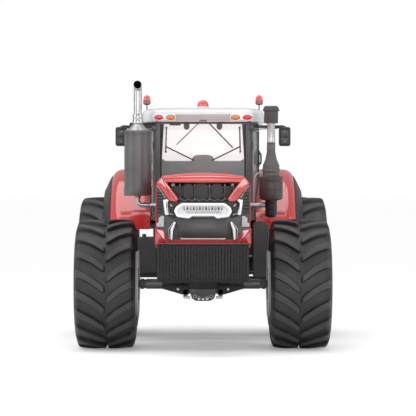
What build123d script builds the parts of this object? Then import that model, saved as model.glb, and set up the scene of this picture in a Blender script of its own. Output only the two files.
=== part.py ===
"""High-horsepower row-crop farm tractor with a rigid chassis and a steered, driven front axle.

Millimetres. +X is the tractor's left side, -Y its front, +Z up. The origin lies on the ground, on the
centre plane, midway between the front weights' face and the lower links' ends.
"""
from build123d import *
from math import atan2, cos, degrees, hypot, pi, radians, sin
import os

# ------------------------------------------------------------------ driving dimensions
SEAT_GAP = 0.3                  # between pieces that rest on each other
MOVE_GAP = 6                    # between pieces that move past each other

# axles
WHEELBASE = 3200
FRONT_AXLE_Y = -1350
REAR_AXLE_Y = FRONT_AXLE_Y + WHEELBASE
FRONT_OVERHANG = 1750           # front axle to the weights' face
REAR_OVERHANG = 1250            # rear axle to the lower links' ends
FRONT_TRACK = 2690
REAR_TRACK = 2900

# tyres and rims: diameter over the lugs, section width, bead seat radius, lugs on each side
FRONT_TYRE_D = 1820
FRONT_TYRE_W = 890
FRONT_BEAD_R = 455
FRONT_LUGS = 19
REAR_TYRE_D = 2120
REAR_TYRE_W = 900
REAR_BEAD_R = 545
REAR_LUGS = 18
BEAD_SHARE = 0.43               # half the rim's width as a share of the tyre's width
RIM_T = 14
FLANGE_H = 22
DISC_T = 30
DISH = 45
HUB_CAP_H = 25
NOSE_SWEEP = 0.8                # of a lug's nose past its shoulder, in pitches
NOSE_HALF = 0.11                # half width of a nose, in pitches
WALL_SHIFT = 0.25               # of the sidewall's corners from a lug's middle, in pitches
FRONT_Z = FRONT_TYRE_D / 2
REAR_Z = REAR_TYRE_D / 2

# front axle and steering
KINGPIN_X = FRONT_TRACK / 2 - 360
FRONT_HUB_FACE_X = KINGPIN_X + 130
FRONT_HUB_R = 175
AXLE_BEAM_H = 116
AXLE_BEAM_L = 130
AXLE_NOSE_R = 140
AXLE_NOSE_Y = (FRONT_AXLE_Y - 165, FRONT_AXLE_Y + 165)
END_BELL_R = 74
END_BELL_X = (KINGPIN_X - 145, KINGPIN_X - 105)
KINGPIN_R = 78
KINGPIN_H = 380
YOKE_T = 34
STEER_ARM = 240
TIE_ROD_R = 20
TIE_EYE_R = 34
TIE_EYE_H = 48
DROP_PIN_R = 18
STEER_CYLINDER_R = 45
STEER_CYLINDER_L = 620

# chassis
RAIL_HALF = 230
RAIL_Z = (1090, 1330)
CARRIER_Y = (FRONT_AXLE_Y - 1360, FRONT_AXLE_Y - 1130)
CARRIER_HALF = 590
TOW_PLATE_T = 40
TOW_HOLE_R = 16
WEIGHT_COUNT = 30
WEIGHT_PITCH = 41
WEIGHT_GROOVE = (8, 22)         # width and depth between two weights
WEIGHT_Z = (1008, 1518)
ENGINE_HALF = 310
ENGINE_TOP_Z = 2050
GEARBOX_TOP_Z = (1450, 1470)    # front part, rear part
GEARBOX_UNDER_Z = (930, 840)
REAR_HOUSING_Z = (760, 1400)
REAR_HOUSING_HALF = 320
REAR_HUB_FACE_X = REAR_TRACK / 2 - 465
REAR_HUB_R = 190

# cab
CAB_LENGTH = 1800
CAB_REAR_Y = REAR_AXLE_Y + 100
CAB_FRONT_Y = CAB_REAR_Y - CAB_LENGTH
CAB_FLOOR_Z = 1730
CAB_FLOOR_T = 80
CAB_TOP_Z = 3229
CAB_HALF_FRONT = 733            # at the door's hinge line
CAB_HALF_MID = 855              # at the door's rear edge
CAB_SIDE_X = CAB_HALF_MID - 10
WALL_T = 40
PILLAR_W = 80
SILL_SIDE_Z = 2600
SILL_REAR_Z = 2680
GLASS_T = 8
DOOR_HINGE_Y = CAB_FRONT_Y + 65
DOOR_L = 890
DOOR_REAR_Y = DOOR_HINGE_Y + DOOR_L
DOOR_T = 45
DOOR_Z = (1775, 3160)
DOOR_RAIL = 55
HINGE_R = 11
HINGE_L = 60
HINGE_Z = (1950, 2850)          # lower ends of the door's hinge barrels
RING_Z = (CAB_TOP_Z - 66, CAB_TOP_Z - SEAT_GAP)
HEADER_Z = (CAB_TOP_Z - 24, CAB_TOP_Z - SEAT_GAP)
BINNACLE_TOP_Z = 2740
SEAT_Z = (2130, 2740)           # base of the cushion, top of the back
ROOF_BASE_H = 135
ROOF_CROWN_H = 113
ROOF_TAPER = 48                 # degrees from the vertical
POD_T = 26                      # of the lamp pods in front of the fascia
ROOF_FRONT_Y = CAB_FRONT_Y - 230

# rear fenders: skins of revolution about this line
FENDER_Y = REAR_AXLE_Y + 30
FENDER_Z = REAR_Z + 10
FENDER_GAP = 420                # over the tyre
FENDER_R = REAR_TYRE_D / 2 + FENDER_GAP
FLARE_LIP_R = REAR_TYRE_D / 2 + 80
FENDER_T = 14
FENDER_ANGLES = (50, 157)       # degrees from the rear horizontal: rear end, front end
FENDER_NECK_ANGLE = 121         # ahead of this the skin reaches in to the cab's slanted side
FENDER_NECK_X = CAB_HALF_FRONT + 57
FENDER_FLAT_X = 1255
FENDER_EDGE_X = 1395
FLARE_EDGE_X = 1515
FENDER_FRONT_Y = FENDER_Y + FENDER_R * cos(radians(FENDER_ANGLES[1]))

# tanks and steps
TANK_OUTER_X = REAR_TRACK / 2 - REAR_TYRE_W / 2 - 30
TANK_Y = (CAB_FRONT_Y - 170, FENDER_FRONT_Y - 22)
TANK_LEFT_W = 242
TANK_LEFT_Z = (946, 1763)
TANK_RIGHT_W = 290
TANK_RIGHT_Z = (1005, 1537)
STEP_X = (TANK_OUTER_X + 15, TANK_OUTER_X + 380)
STEP_Y = (CAB_FRONT_Y - 90, CAB_FRONT_Y + 330)
STEP_Z = (470, 1600)
TREAD_PITCH = 290

# hood
HOOD_FRONT_Y = FRONT_AXLE_Y - 1250
HOOD_REAR_Y = CAB_FRONT_Y - 510
COWL_REAR_Y = CAB_FRONT_Y - 58
HOOD_HALF = 655
HOOD_NOSE_HALF = 640
HOOD_CROWN_Z = (2464, 2468)     # nose, cab
HOOD_SIDE_Z = 1640
HOOD_T = 12
HOOD_HINGE_R = 12
HOOD_BARREL_X = 60
HOOD_EAR_X = 110
PANEL_T = 40
APRON_Z = (1456, 1723.6)
PANEL_TOP_Z = (2070, 2285)      # under the light bar's top, beside the arms
LIP_L = 60
VENT_COUNT = 9
VENT_PITCH = 130
RIB_COUNT = 12
RIB_PITCH = 42
RIB_DEPTH = 22

# exhaust and intake
STACK_X = -(HOOD_HALF + 299)
STACK_Y = CAB_FRONT_Y - 300
STACK_Z = (2146, 3206)
STACK_R = 205
STACK_PIPE_R = 61
STACK_MOUTH_Z = 3767
CLEANER_X = HOOD_HALF + 341
CLEANER_Z = (1829, 2926)
CLEANER_BOOT_R = 88
CLEANER_CUP_Z = (3205, 3460)
SIDE_PIPE_Z = 2012

# rear linkage and power shaft
LINK_X = 482
LINK_EYE_R = 18.7
LINK_EYE_HALF = 28
LINK_T = 44
LINK_PIN_Y = REAR_AXLE_Y + 130
LINK_PIN_Z = 800
LINK_PIN_R = 25
LINK_END_Z = 850
LINK_BOSS_R = 55
ARM_PIN_Y = REAR_AXLE_Y + 110
ARM_PIN_Z = REAR_HOUSING_Z[1] + 90
ARM_PIN_R = 45
ARM_L = 560
ARM_X = (355, 405)
ROD_DROP = 665
ROD_R = 20
ROD_EYE_R = 33
TOP_PIN_Y = REAR_AXLE_Y + 410
TOP_PIN_Z = 1330
TOP_LINK_L = 640
TOP_LINK_TILT = 68              # degrees above the horizontal, where its hook holds it
TOP_EYE_R = 16
TOP_EYE_HALF = 24
HOUSING_REAR_Y = REAR_AXLE_Y + 300
PTO_Z = 900
PTO_R = 22.2
PTO_L = 109.7
DRAWBAR_Z = 585
DRAWBAR_T = 50
DRAWBAR_HOLE_R = 20
DRAWBAR_HOLE_Y = REAR_AXLE_Y + 1070

parts = {}


# ------------------------------------------------------------------ helpers
def block(x, y, z):
    """A box from three (low, high) pairs."""
    centre = Pos((x[0] + x[1]) / 2, (y[0] + y[1]) / 2, (z[0] + z[1]) / 2)
    return centre * Box(x[1] - x[0], y[1] - y[0], z[1] - z[0])


def rod(r, length, sides):
    """A cylinder along Z, or a prism with that many flat sides."""
    return Cylinder(r, length) if not sides else extrude(RegularPolygon(r, sides), length / 2, both=True)


def rod_x(r, x, y, z, sides=0):
    """A rod along X from x[0] to x[1]."""
    return Pos((x[0] + x[1]) / 2, y, z) * Rot(0, 90, 0) * rod(r, x[1] - x[0], sides)


def rod_y(r, x, y, z, sides=0):
    """A rod along Y from y[0] to y[1]."""
    return Pos(x, (y[0] + y[1]) / 2, z) * Rot(90, 0, 0) * rod(r, y[1] - y[0], sides)


def rod_z(r, x, y, z, sides=0):
    """A rod along Z from z[0] to z[1]."""
    return Pos(x, y, (z[0] + z[1]) / 2) * rod(r, z[1] - z[0], sides)


def bar(start, end, r, sides=8):
    """A bar of regular polygon section between two points."""
    path = Line(start, end)
    return extrude(Plane(origin=start, z_dir=path % 0) * RegularPolygon(r, sides), path.length)


def side_plate(points, x):
    """A plate whose outline is given in (y, z), from x[0] to x[1]."""
    face = make_face(Polyline(*points, close=True))
    return extrude(Plane.YZ.offset(x[0]) * face, x[1] - x[0])


def front_plate(points, y):
    """A plate whose outline is given in (x, z), from y[0] to y[1]."""
    face = make_face(Polyline(*points, close=True))
    plane = Plane(origin=(0, y[1], 0), x_dir=(1, 0, 0), z_dir=(0, -1, 0))
    return extrude(plane * face, y[1] - y[0])


def plan_plate(points, z):
    """A plate whose outline is given in (x, y), from z[0] to z[1]."""
    face = make_face(Polyline(*points, close=True))
    return extrude(Plane.XY.offset(z[0]) * face, z[1] - z[0])


def both(points):
    """An outline given for x >= 0 from the top down, closed through its mirror image."""
    return [*points, *[(-x, other) for x, other in reversed(points)]]


def faceted(outline, sides, axis="x", start=0.0, sweep=360.0):
    """A body turned about X or Z in flat facets, from a closed outline of (along, radius) points."""
    ring_count = sides if sweep == 360 else sides + 1

    def place(along, radius, angle):
        u, v = radius * cos(angle), radius * sin(angle)
        return Vector(along, u, v) if axis == "x" else Vector(u, v, along)

    rings = [[place(a, r, radians(start + sweep * i / sides)) for a, r in outline]
             for i in range(ring_count)]
    faces = []
    for i in range(sides):
        near, far = rings[i], rings[(i + 1) % ring_count]
        for j in range(len(outline)):
            k = (j + 1) % len(outline)
            corners = [near[j], near[k], far[k], far[j]]
            corners = [c for n, c in enumerate(corners) if (c - corners[n - 1]).length > 1e-6]
            if len(corners) > 2:
                faces.append(Face(Wire.make_polygon(corners)))
    if sweep != 360:
        faces += [Face(Wire.make_polygon(ring)) for ring in (rings[0], rings[-1])]
    return closed_solid(faces)


def closed_solid(faces):
    """The solid inside a closed set of flat faces."""
    solid = Solid(Shell(faces))
    return solid if solid.volume > 0 else Solid(solid.wrapped.Reversed())


def mirrored(piece):
    """The same piece on the other side of the centre plane."""
    return mirror(piece, about=Plane.YZ)


def solids_of(piece):
    """The solids of a shape or a list of shapes."""
    if isinstance(piece, (list, tuple)):
        return [s for p in piece for s in solids_of(p)]
    return list(piece.solids())


def keep(name, *pieces):
    """Files a node's solids under its name."""
    found = solids_of(pieces)
    parts[name] = found[0] if len(found) == 1 else Compound(children=found)


# ------------------------------------------------------------------ wheels
def lugged_tyre(diameter, width, bead_r, lugs):
    """A lugged tyre about the X axis, centred on the origin, as a closed net of triangles.

    Each side carries lugs that sweep back from a nose near the centre line to the shoulder and run
    out on the sidewall. The two sides are staggered by half a pitch. A lug corner lies straight
    below the axle.
    """
    r = diameter / 2
    pitch = 360 / lugs
    lug_stations = [
        # distance from the centre line, base radius, lug radius, sweep and half width in pitches
        (0.02 * width, r - 48, r, NOSE_SWEEP, NOSE_HALF),
        (0.23 * width, r - 50, r - 3, 0.36, 0.13),
        (0.43 * width, r - 66, r - 20, 0.06, 0.17),
        (0.485 * width, r - 150, r - 150, 0.0, 0.15),
    ]
    wall_rings = [
        # distance from the centre line, radius
        (0.5 * width, bead_r + 0.45 * (r - bead_r)),
        (BEAD_SHARE * width, bead_r + FLANGE_H + 8),
        (BEAD_SHARE * width, bead_r),
    ]
    phase = 270 - (NOSE_SWEEP + NOSE_HALF) * pitch

    def point(x, radius, turn):
        angle = radians(phase + turn * pitch)
        return Vector(x, radius * cos(angle), radius * sin(angle))

    faces = []

    def net(*corners):
        for a, b, c in ((0, 1, 2), (0, 2, 3))[:len(corners) - 2]:
            tri = [corners[a], corners[b], corners[c]]
            if min((tri[i] - tri[i - 1]).length for i in range(3)) > 1e-6:
                faces.append(Face(Wire.make_polygon(tri)))

    def lug_edges(side, k):
        """The base and top points of one lug's front and back edges, from nose to sidewall."""
        turn = k + (0.5 if side < 0 else 0)
        edges = {}
        for name, sign in (("back", -1), ("front", 1)):
            at = [(side * x, base, top, turn + sweep + sign * half)
                  for x, base, top, sweep, half in lug_stations]
            edges[name] = ([point(x, base, t) for x, base, _, t in at],
                           [point(x, top, t) for x, _, top, t in at])
        return edges

    def wall_ring(side, index, k):
        """Two points on a sidewall ring beside lug k, behind and ahead of its middle."""
        x, radius = wall_rings[index]
        turn = k + (0.5 if side < 0 else 0)
        return [point(side * x, radius, turn + shift) for shift in (-WALL_SHIFT, WALL_SHIFT)]

    for side in (1, -1):
        for k in range(lugs):
            lug, after = lug_edges(side, k), lug_edges(side, k + 1)
            (back_low, back_top), (front_low, front_top) = lug["back"], lug["front"]
            next_low = after["back"][0]
            net(back_low[0], back_top[0], front_top[0], front_low[0])
            for i in range(len(lug_stations) - 1):
                net(back_top[i], back_top[i + 1], front_top[i + 1], front_top[i])
                net(back_low[i], back_low[i + 1], back_top[i + 1], back_top[i])
                net(front_low[i], front_low[i + 1], front_top[i + 1], front_top[i])
                net(front_low[i], front_low[i + 1], next_low[i + 1], next_low[i])
            rings = [[back_low[-1], front_low[-1], next_low[-1]]]
            for index in range(len(wall_rings)):
                rings.append([*wall_ring(side, index, k), wall_ring(side, index, k + 1)[0]])
            for upper, lower in zip(rings, rings[1:]):
                net(upper[0], upper[1], lower[1], lower[0])
                net(upper[1], upper[2], lower[2], lower[1])
    for k in range(lugs):
        left, right, left_next = lug_edges(1, k), lug_edges(-1, k), lug_edges(1, k + 1)
        right_before = lug_edges(-1, k - 1)
        lb, lf = left["back"][0][0], left["front"][0][0]
        rb, rf = right["back"][0][0], right["front"][0][0]
        net(lb, right_before["front"][0][0], rb)
        net(lb, lf, rb)
        net(lf, rb, rf)
        net(lf, left_next["back"][0][0], rf)
        near, far = wall_ring(1, -1, k), wall_ring(-1, -1, k)
        net(near[0], near[1], far[0], wall_ring(-1, -1, k - 1)[1])
        net(near[1], wall_ring(1, -1, k + 1)[0], far[1], far[0])
    return closed_solid(faces)


def rim(width, bead_r, lugs, disc_x, hub_r, hub_face_x):
    """A wheel rim about the X axis, outer side towards +X: flanged barrel, dished disc and hub."""
    bead_half = BEAD_SHARE * width + SEAT_GAP
    seat_r = bead_r - SEAT_GAP
    lip = bead_half + RIM_T
    inner_r = bead_r - RIM_T
    flange_r = bead_r + FLANGE_H
    hub_edge = hub_r - 20
    barrel = [
        (-lip, inner_r), (-lip, flange_r), (-bead_half, flange_r), (-bead_half, seat_r),
        (bead_half, seat_r), (bead_half, flange_r), (lip, flange_r), (lip, inner_r),
    ]
    dish = [
        (disc_x, inner_r + 0.8 * RIM_T), (disc_x + DISC_T, inner_r + 0.8 * RIM_T),
        (disc_x + DISC_T + DISH, hub_edge), (disc_x + DISH, hub_edge),
    ]
    start = 270 - (NOSE_SWEEP + NOSE_HALF - WALL_SHIFT) * 360 / lugs
    hub = rod_x(hub_r, (hub_face_x, disc_x + DISH + DISC_T + HUB_CAP_H), 0, 0)
    return faceted(barrel, 2 * lugs, start=start) + faceted(dish, lugs, start=start) + hub


def place_wheels():
    """Files the four tyres and rims."""
    axles = [
        # name, y, z, track, diameter, width, bead radius, lugs, disc x, hub radius, hub face x
        ("front", FRONT_AXLE_Y, FRONT_Z, FRONT_TRACK, FRONT_TYRE_D, FRONT_TYRE_W, FRONT_BEAD_R,
         FRONT_LUGS, 60, FRONT_HUB_R, FRONT_HUB_FACE_X),
        ("rear", REAR_AXLE_Y, REAR_Z, REAR_TRACK, REAR_TYRE_D, REAR_TYRE_W, REAR_BEAD_R,
         REAR_LUGS, -60, REAR_HUB_R, REAR_HUB_FACE_X),
    ]
    for name, y, z, track, diameter, width, bead_r, lugs, disc_x, hub_r, hub_face_x in axles:
        place = Pos(track / 2, y, z)
        left_tyre = place * lugged_tyre(diameter, width, bead_r, lugs)
        left_rim = place * rim(width, bead_r, lugs, disc_x, hub_r, hub_face_x - track / 2)
        keep(f"{name}_tyre_left", left_tyre)
        keep(f"{name}_tyre_right", mirrored(left_tyre))
        keep(f"{name}_rim_left", left_rim)
        keep(f"{name}_rim_right", mirrored(left_rim))


# ------------------------------------------------------------------ front axle and steering
STEER_Y = FRONT_AXLE_Y + STEER_ARM
YOKE_FOOT_Z = FRONT_Z + KINGPIN_H / 2 + SEAT_GAP


def front_axle():
    """The beam with its differential housing, end bells, kingpin barrels and steering cylinder."""
    half_h = AXLE_BEAM_H / 2
    half_l = AXLE_BEAM_L / 2
    swell_x, belly_x = 0.45 * END_BELL_X[0], 0.2 * END_BELL_X[0]
    beam = front_plate(both([
        (belly_x + 40, FRONT_Z + half_h + 40), (swell_x, FRONT_Z + half_h),
        (END_BELL_X[0], FRONT_Z + half_h), (END_BELL_X[0], FRONT_Z - half_h),
        (swell_x, FRONT_Z - half_h), (belly_x, FRONT_Z - AXLE_NOSE_R - 5)]),
        (FRONT_AXLE_Y - half_l, FRONT_AXLE_Y + half_l))
    belly = plan_plate([
        (-swell_x + 60, FRONT_AXLE_Y - half_l), (-belly_x, FRONT_AXLE_Y - AXLE_NOSE_R),
        (belly_x, FRONT_AXLE_Y - AXLE_NOSE_R), (swell_x - 60, FRONT_AXLE_Y - half_l),
        (swell_x - 60, FRONT_AXLE_Y + half_l), (belly_x, FRONT_AXLE_Y + AXLE_NOSE_R),
        (-belly_x, FRONT_AXLE_Y + AXLE_NOSE_R), (-swell_x + 60, FRONT_AXLE_Y + half_l)],
        (FRONT_Z - half_h - 30, FRONT_Z + half_h + 10))
    solid = beam + belly + rod_y(AXLE_NOSE_R, 0, AXLE_NOSE_Y, FRONT_Z, 24)
    bell_half = (END_BELL_X[1] - END_BELL_X[0]) / 2
    bell = [(-bell_half - 70, 0), (-bell_half - 70, 0.5 * END_BELL_R), (-bell_half, END_BELL_R),
            (bell_half, END_BELL_R), (bell_half, 0)]
    left = Pos(END_BELL_X[0] + bell_half, FRONT_AXLE_Y, FRONT_Z) * faceted(bell, 24)
    left += rod_x(KINGPIN_R - 23, (END_BELL_X[1] - 5, KINGPIN_X), FRONT_AXLE_Y, FRONT_Z, 16)
    left += rod_z(KINGPIN_R, KINGPIN_X, FRONT_AXLE_Y,
                  (FRONT_Z - KINGPIN_H / 2, FRONT_Z + KINGPIN_H / 2))
    bracket_x = 0.35 * STEER_CYLINDER_L
    left += block((bracket_x - 25, bracket_x + 25), (FRONT_AXLE_Y + half_l - 5, STEER_Y),
                  (FRONT_Z - 40, FRONT_Z + 40))
    cylinder_x = (-STEER_CYLINDER_L / 2, STEER_CYLINDER_L / 2)
    solid += left + mirrored(left) + rod_x(STEER_CYLINDER_R, cylinder_x, STEER_Y, FRONT_Z, 16)
    return solid - rod_x(TIE_ROD_R + SEAT_GAP, (cylinder_x[0] - 1, cylinder_x[1] + 1),
                         STEER_Y, FRONT_Z, 12)


def knuckle():
    """The left steering knuckle: yoke arms over and under the barrel, spindle and steering arm."""
    yoke_y = KINGPIN_R + 4
    back_x = KINGPIN_X + KINGPIN_R + 8
    arm = rod_z(yoke_y, KINGPIN_X, FRONT_AXLE_Y, (YOKE_FOOT_Z, YOKE_FOOT_Z + YOKE_T))
    arm += block((KINGPIN_X, back_x + 5), (FRONT_AXLE_Y - yoke_y, FRONT_AXLE_Y + yoke_y),
                 (YOKE_FOOT_Z, YOKE_FOOT_Z + YOKE_T))
    lower = mirror(arm, about=Plane.XY.offset(FRONT_Z))
    half_z = YOKE_FOOT_Z + YOKE_T - FRONT_Z
    back = side_plate([
        (FRONT_AXLE_Y - 75, FRONT_Z - half_z), (FRONT_AXLE_Y - 115, FRONT_Z - 0.5 * half_z),
        (FRONT_AXLE_Y - 115, FRONT_Z + 0.5 * half_z), (FRONT_AXLE_Y - 75, FRONT_Z + half_z),
        (FRONT_AXLE_Y + 75, FRONT_Z + half_z), (FRONT_AXLE_Y + 115, FRONT_Z + 0.5 * half_z),
        (FRONT_AXLE_Y + 115, FRONT_Z - 0.5 * half_z), (FRONT_AXLE_Y + 75, FRONT_Z - half_z)],
        (back_x, FRONT_HUB_FACE_X - SEAT_GAP - 10))
    spindle = rod_x(110, (back_x, FRONT_HUB_FACE_X - SEAT_GAP), FRONT_AXLE_Y, FRONT_Z, 20)
    steer = plan_plate([
        (KINGPIN_X - 60, FRONT_AXLE_Y), (KINGPIN_X - 38, STEER_Y + 36),
        (KINGPIN_X + 38, STEER_Y + 36), (KINGPIN_X + 60, FRONT_AXLE_Y)],
        (YOKE_FOOT_Z, YOKE_FOOT_Z + YOKE_T))
    drop = rod_z(DROP_PIN_R, KINGPIN_X, STEER_Y,
                 (FRONT_Z + TIE_EYE_H / 2 + SEAT_GAP, YOKE_FOOT_Z + 5), 12)
    return arm + lower + back + spindle + steer + drop


def tie_rod():
    """The steering cylinder's rod with the tie-rod eyes, one bar right across."""
    bar_ = rod_x(TIE_ROD_R, (-KINGPIN_X, KINGPIN_X), STEER_Y, FRONT_Z, 12)
    sleeve_x = (STEER_CYLINDER_L / 2 + 250, STEER_CYLINDER_L / 2 + 390)
    left = rod_z(TIE_EYE_R, KINGPIN_X, STEER_Y, (FRONT_Z - TIE_EYE_H / 2, FRONT_Z + TIE_EYE_H / 2), 16)
    left += rod_x(TIE_ROD_R + 10, sleeve_x, STEER_Y, FRONT_Z, 12)
    return bar_ + left + mirrored(left)


# ------------------------------------------------------------------ chassis
TOW_PLATE_Y = (CARRIER_Y[0] - 120, CARRIER_Y[0] - 120 + TOW_PLATE_T)
TOW_HOLES = [
    # x, z
    (-109, 801),
    (-55, 778),
    (0, 771),
    (55, 778),
    (109, 801),
]
ENGINE_Y = (FRONT_AXLE_Y - 500, FRONT_AXLE_Y + 930)
RAILS_REAR_Y = FRONT_AXLE_Y + 450
FLOOR_UNDER_Z = CAB_FLOOR_Z - CAB_FLOOR_T


def front_frame():
    """The cast front frame over the axle with the lugs that hold the axle's nose."""
    rails = side_plate([
        (CARRIER_Y[1] + SEAT_GAP, RAIL_Z[1]), (RAILS_REAR_Y, RAIL_Z[1]), (RAILS_REAR_Y, RAIL_Z[0]),
        (FRONT_AXLE_Y - 220, RAIL_Z[0]), (CARRIER_Y[1] + 420, RAIL_Z[0] - 90),
        (CARRIER_Y[1] + SEAT_GAP, RAIL_Z[0] - 90)], (-RAIL_HALF, RAIL_HALF))
    lug_z = FRONT_Z + AXLE_NOSE_R + SEAT_GAP
    for y in (AXLE_NOSE_Y[0] + 5, AXLE_NOSE_Y[1] - 43):
        rails += front_plate([(-110, lug_z), (110, lug_z), (150, RAIL_Z[0] + 10),
                              (-150, RAIL_Z[0] + 10)], (y, y + 38))
    return rails


def weight_carrier():
    """The cast carrier that the weights hang on, tapered below, with the drilled tow plate."""
    half, (y0, y1) = CARRIER_HALF, CARRIER_Y
    carrier = front_plate(both([
        (half, RAIL_Z[1]), (half, RAIL_Z[1] - 270), (half - 37, RAIL_Z[1] - 345),
        (half - 37, RAIL_Z[1] - 380), (0.5 * half, RAIL_Z[1] - 480)]), CARRIER_Y)
    tow = front_plate(both([
        (190, RAIL_Z[1] - 430), (150, RAIL_Z[1] - 555), (95, RAIL_Z[1] - 588)]), TOW_PLATE_Y)
    tow += block((-150, 150), (TOW_PLATE_Y[0] + 20, y0 + 20), (RAIL_Z[1] - 470, RAIL_Z[1] - 430))
    for x, z in TOW_HOLES:
        tow -= rod_y(TOW_HOLE_R, x, (TOW_PLATE_Y[0] - 10, TOW_PLATE_Y[1] + 10), z)
    for x in (-237, 237):
        tow += block((x - 28, x + 28), (y0 - 60, y0 + 5), (RAIL_Z[1] - 545, RAIL_Z[1] - 440))
        tow += block((x - 28, x + 28), (y0 - 5, y1 - 150), (RAIL_Z[1] - 480, RAIL_Z[1] - 440))
    return carrier + tow


def front_weights():
    """Suitcase weights hung side by side on the carrier, with a groove between each two."""
    half = WEIGHT_COUNT * WEIGHT_PITCH / 2
    z0, z1 = WEIGHT_Z
    front, rear = FRONT_AXLE_Y - FRONT_OVERHANG, CARRIER_Y[0] - SEAT_GAP
    groove_w, groove_d = WEIGHT_GROOVE
    stack = side_plate([
        (front + 35, z0), (front, z0 + 40), (front, z1 - 30), (front + 30, z1),
        (rear, z1), (rear, z0 + 60), (rear - 60, z0)], (-half, half))
    for i in range(1, WEIGHT_COUNT):
        x = -half + i * WEIGHT_PITCH
        stack -= block((x - groove_w / 2, x + groove_w / 2), (front - 1, front + groove_d),
                       (z0 - 1, z1 + 1))
    return stack


def engine():
    """The engine as one block with its sump and rocker cover."""
    y0, y1 = ENGINE_Y
    base = block((-ENGINE_HALF, ENGINE_HALF), ENGINE_Y, (RAIL_Z[1] + SEAT_GAP, ENGINE_TOP_Z))
    sump = block((-220, 220), (RAILS_REAR_Y + SEAT_GAP, y1), (RAIL_Z[0] - 70, RAIL_Z[1] + 10))
    cover = front_plate(both([(150, ENGINE_TOP_Z + 120), (190, ENGINE_TOP_Z + 80),
                              (190, ENGINE_TOP_Z - 5)]), (y0 + 70, y1 - 80))
    return base + sump + cover


def cooling_pack():
    """The radiators behind the nose, with the three rounded intake covers in front of them."""
    y0, y1 = HOOD_FRONT_Y + 130, HOOD_FRONT_Y + 470
    half = HOOD_HALF - 95
    pack = block((-half, half), (y0, y1), (RAIL_Z[1] + SEAT_GAP + 30, PANEL_TOP_Z[1] + 5))
    pack += block((-220, 220), (y0 + 30, y1 - 30), (RAIL_Z[1] + SEAT_GAP, RAIL_Z[1] + 60))
    covers = [
        # middle x, half width, lower z, upper z
        (-200, 66, 2112, 2322),
        (-17, 82, 2100, 2330),
        (192, 72, 2112, 2322),
    ]
    for x, w, z0, z1 in covers:
        pack += front_plate([
            (x - w, z0 + 30), (x - 0.6 * w, z0), (x + 0.6 * w, z0), (x + w, z0 + 30),
            (x + w, z1 - 40), (x + 0.6 * w, z1), (x - 0.6 * w, z1), (x - w, z1 - 40)],
            (y0 - 45, y0 + 5))
    return pack


def transmission():
    """The gearbox housing between engine and rear axle, with the beams that carry the tanks."""
    y_mid = CAB_FRONT_Y + 470
    solid = block((-250, 250), (ENGINE_Y[1] + SEAT_GAP, y_mid),
                  (GEARBOX_UNDER_Z[0], GEARBOX_TOP_Z[0]))
    solid += front_plate(both([
        (200, GEARBOX_TOP_Z[1]), (290, GEARBOX_TOP_Z[1] - 90), (290, GEARBOX_UNDER_Z[0]),
        (220, GEARBOX_UNDER_Z[1])]),
        (y_mid, REAR_AXLE_Y - 290))
    for y in (TANK_Y[0] + 40, TANK_Y[0] + 460):
        for side, tank_z in ((1, TANK_LEFT_Z[0]), (-1, TANK_RIGHT_Z[0])):
            solid += block(sorted((side * 200, side * TANK_OUTER_X)), (y, y + 60),
                           (tank_z - 60, tank_z - SEAT_GAP))
    return solid


def rear_axle():
    """The rear axle's centre housing, trumpets and lower-link pins."""
    y0, y1 = REAR_AXLE_Y - 290 + SEAT_GAP, HOUSING_REAR_Y
    z0, z1 = REAR_HOUSING_Z
    half = REAR_HOUSING_HALF
    solid = side_plate([
        (y0, z0), (y0, z1), (y1 - 60, z1), (y1, z1 - 60), (y1, z0 + 90), (y1 - 90, z0)],
        (-half, half))
    pin_x = LINK_X - LINK_EYE_HALF - SEAT_GAP
    solid += rod_x(LINK_PIN_R, (-pin_x, pin_x), LINK_PIN_Y, LINK_PIN_Z)
    end = REAR_HUB_FACE_X - SEAT_GAP
    trumpet = [(half - 10, 0), (half - 10, 230), (half + 90, 215), (half + 180, 150),
               (end - 80, 140), (end - 60, REAR_HUB_R - 5), (end, REAR_HUB_R - 5), (end, 0)]
    left = Pos(0, REAR_AXLE_Y, REAR_Z) * faceted(trumpet, 20)
    return solid + left + mirrored(left)


def hitch_bracket():
    """The rear plate with the top-link clevis, and the rockshaft in its bearings."""
    y0 = HOUSING_REAR_Y + SEAT_GAP
    top = REAR_HOUSING_Z[1]
    plate = block((-230, 230), (y0, y0 + 50), (top - 220, top - 70))
    cheek = side_plate([
        (y0 + 40, TOP_PIN_Z - 90), (TOP_PIN_Y + 10, TOP_PIN_Z - 45), (TOP_PIN_Y + 40, TOP_PIN_Z - 20),
        (TOP_PIN_Y + 40, TOP_PIN_Z + 20), (TOP_PIN_Y + 10, TOP_PIN_Z + 45),
        (y0 + 40, TOP_PIN_Z + 55)], (TOP_EYE_HALF + SEAT_GAP, TOP_EYE_HALF + 21))
    shaft_x = ARM_X[0] - SEAT_GAP
    shaft = rod_x(ARM_PIN_R, (-shaft_x, shaft_x), ARM_PIN_Y, ARM_PIN_Z)
    foot = top + SEAT_GAP
    bearing = side_plate([
        (ARM_PIN_Y - 90, foot), (ARM_PIN_Y - 60, ARM_PIN_Z + 50), (ARM_PIN_Y - 30, ARM_PIN_Z + 72),
        (ARM_PIN_Y + 30, ARM_PIN_Z + 72), (ARM_PIN_Y + 60, ARM_PIN_Z + 50),
        (HOUSING_REAR_Y - 60, foot)], (200, 260))
    return [plate + cheek + mirrored(cheek), shaft + bearing + mirrored(bearing)]


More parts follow.
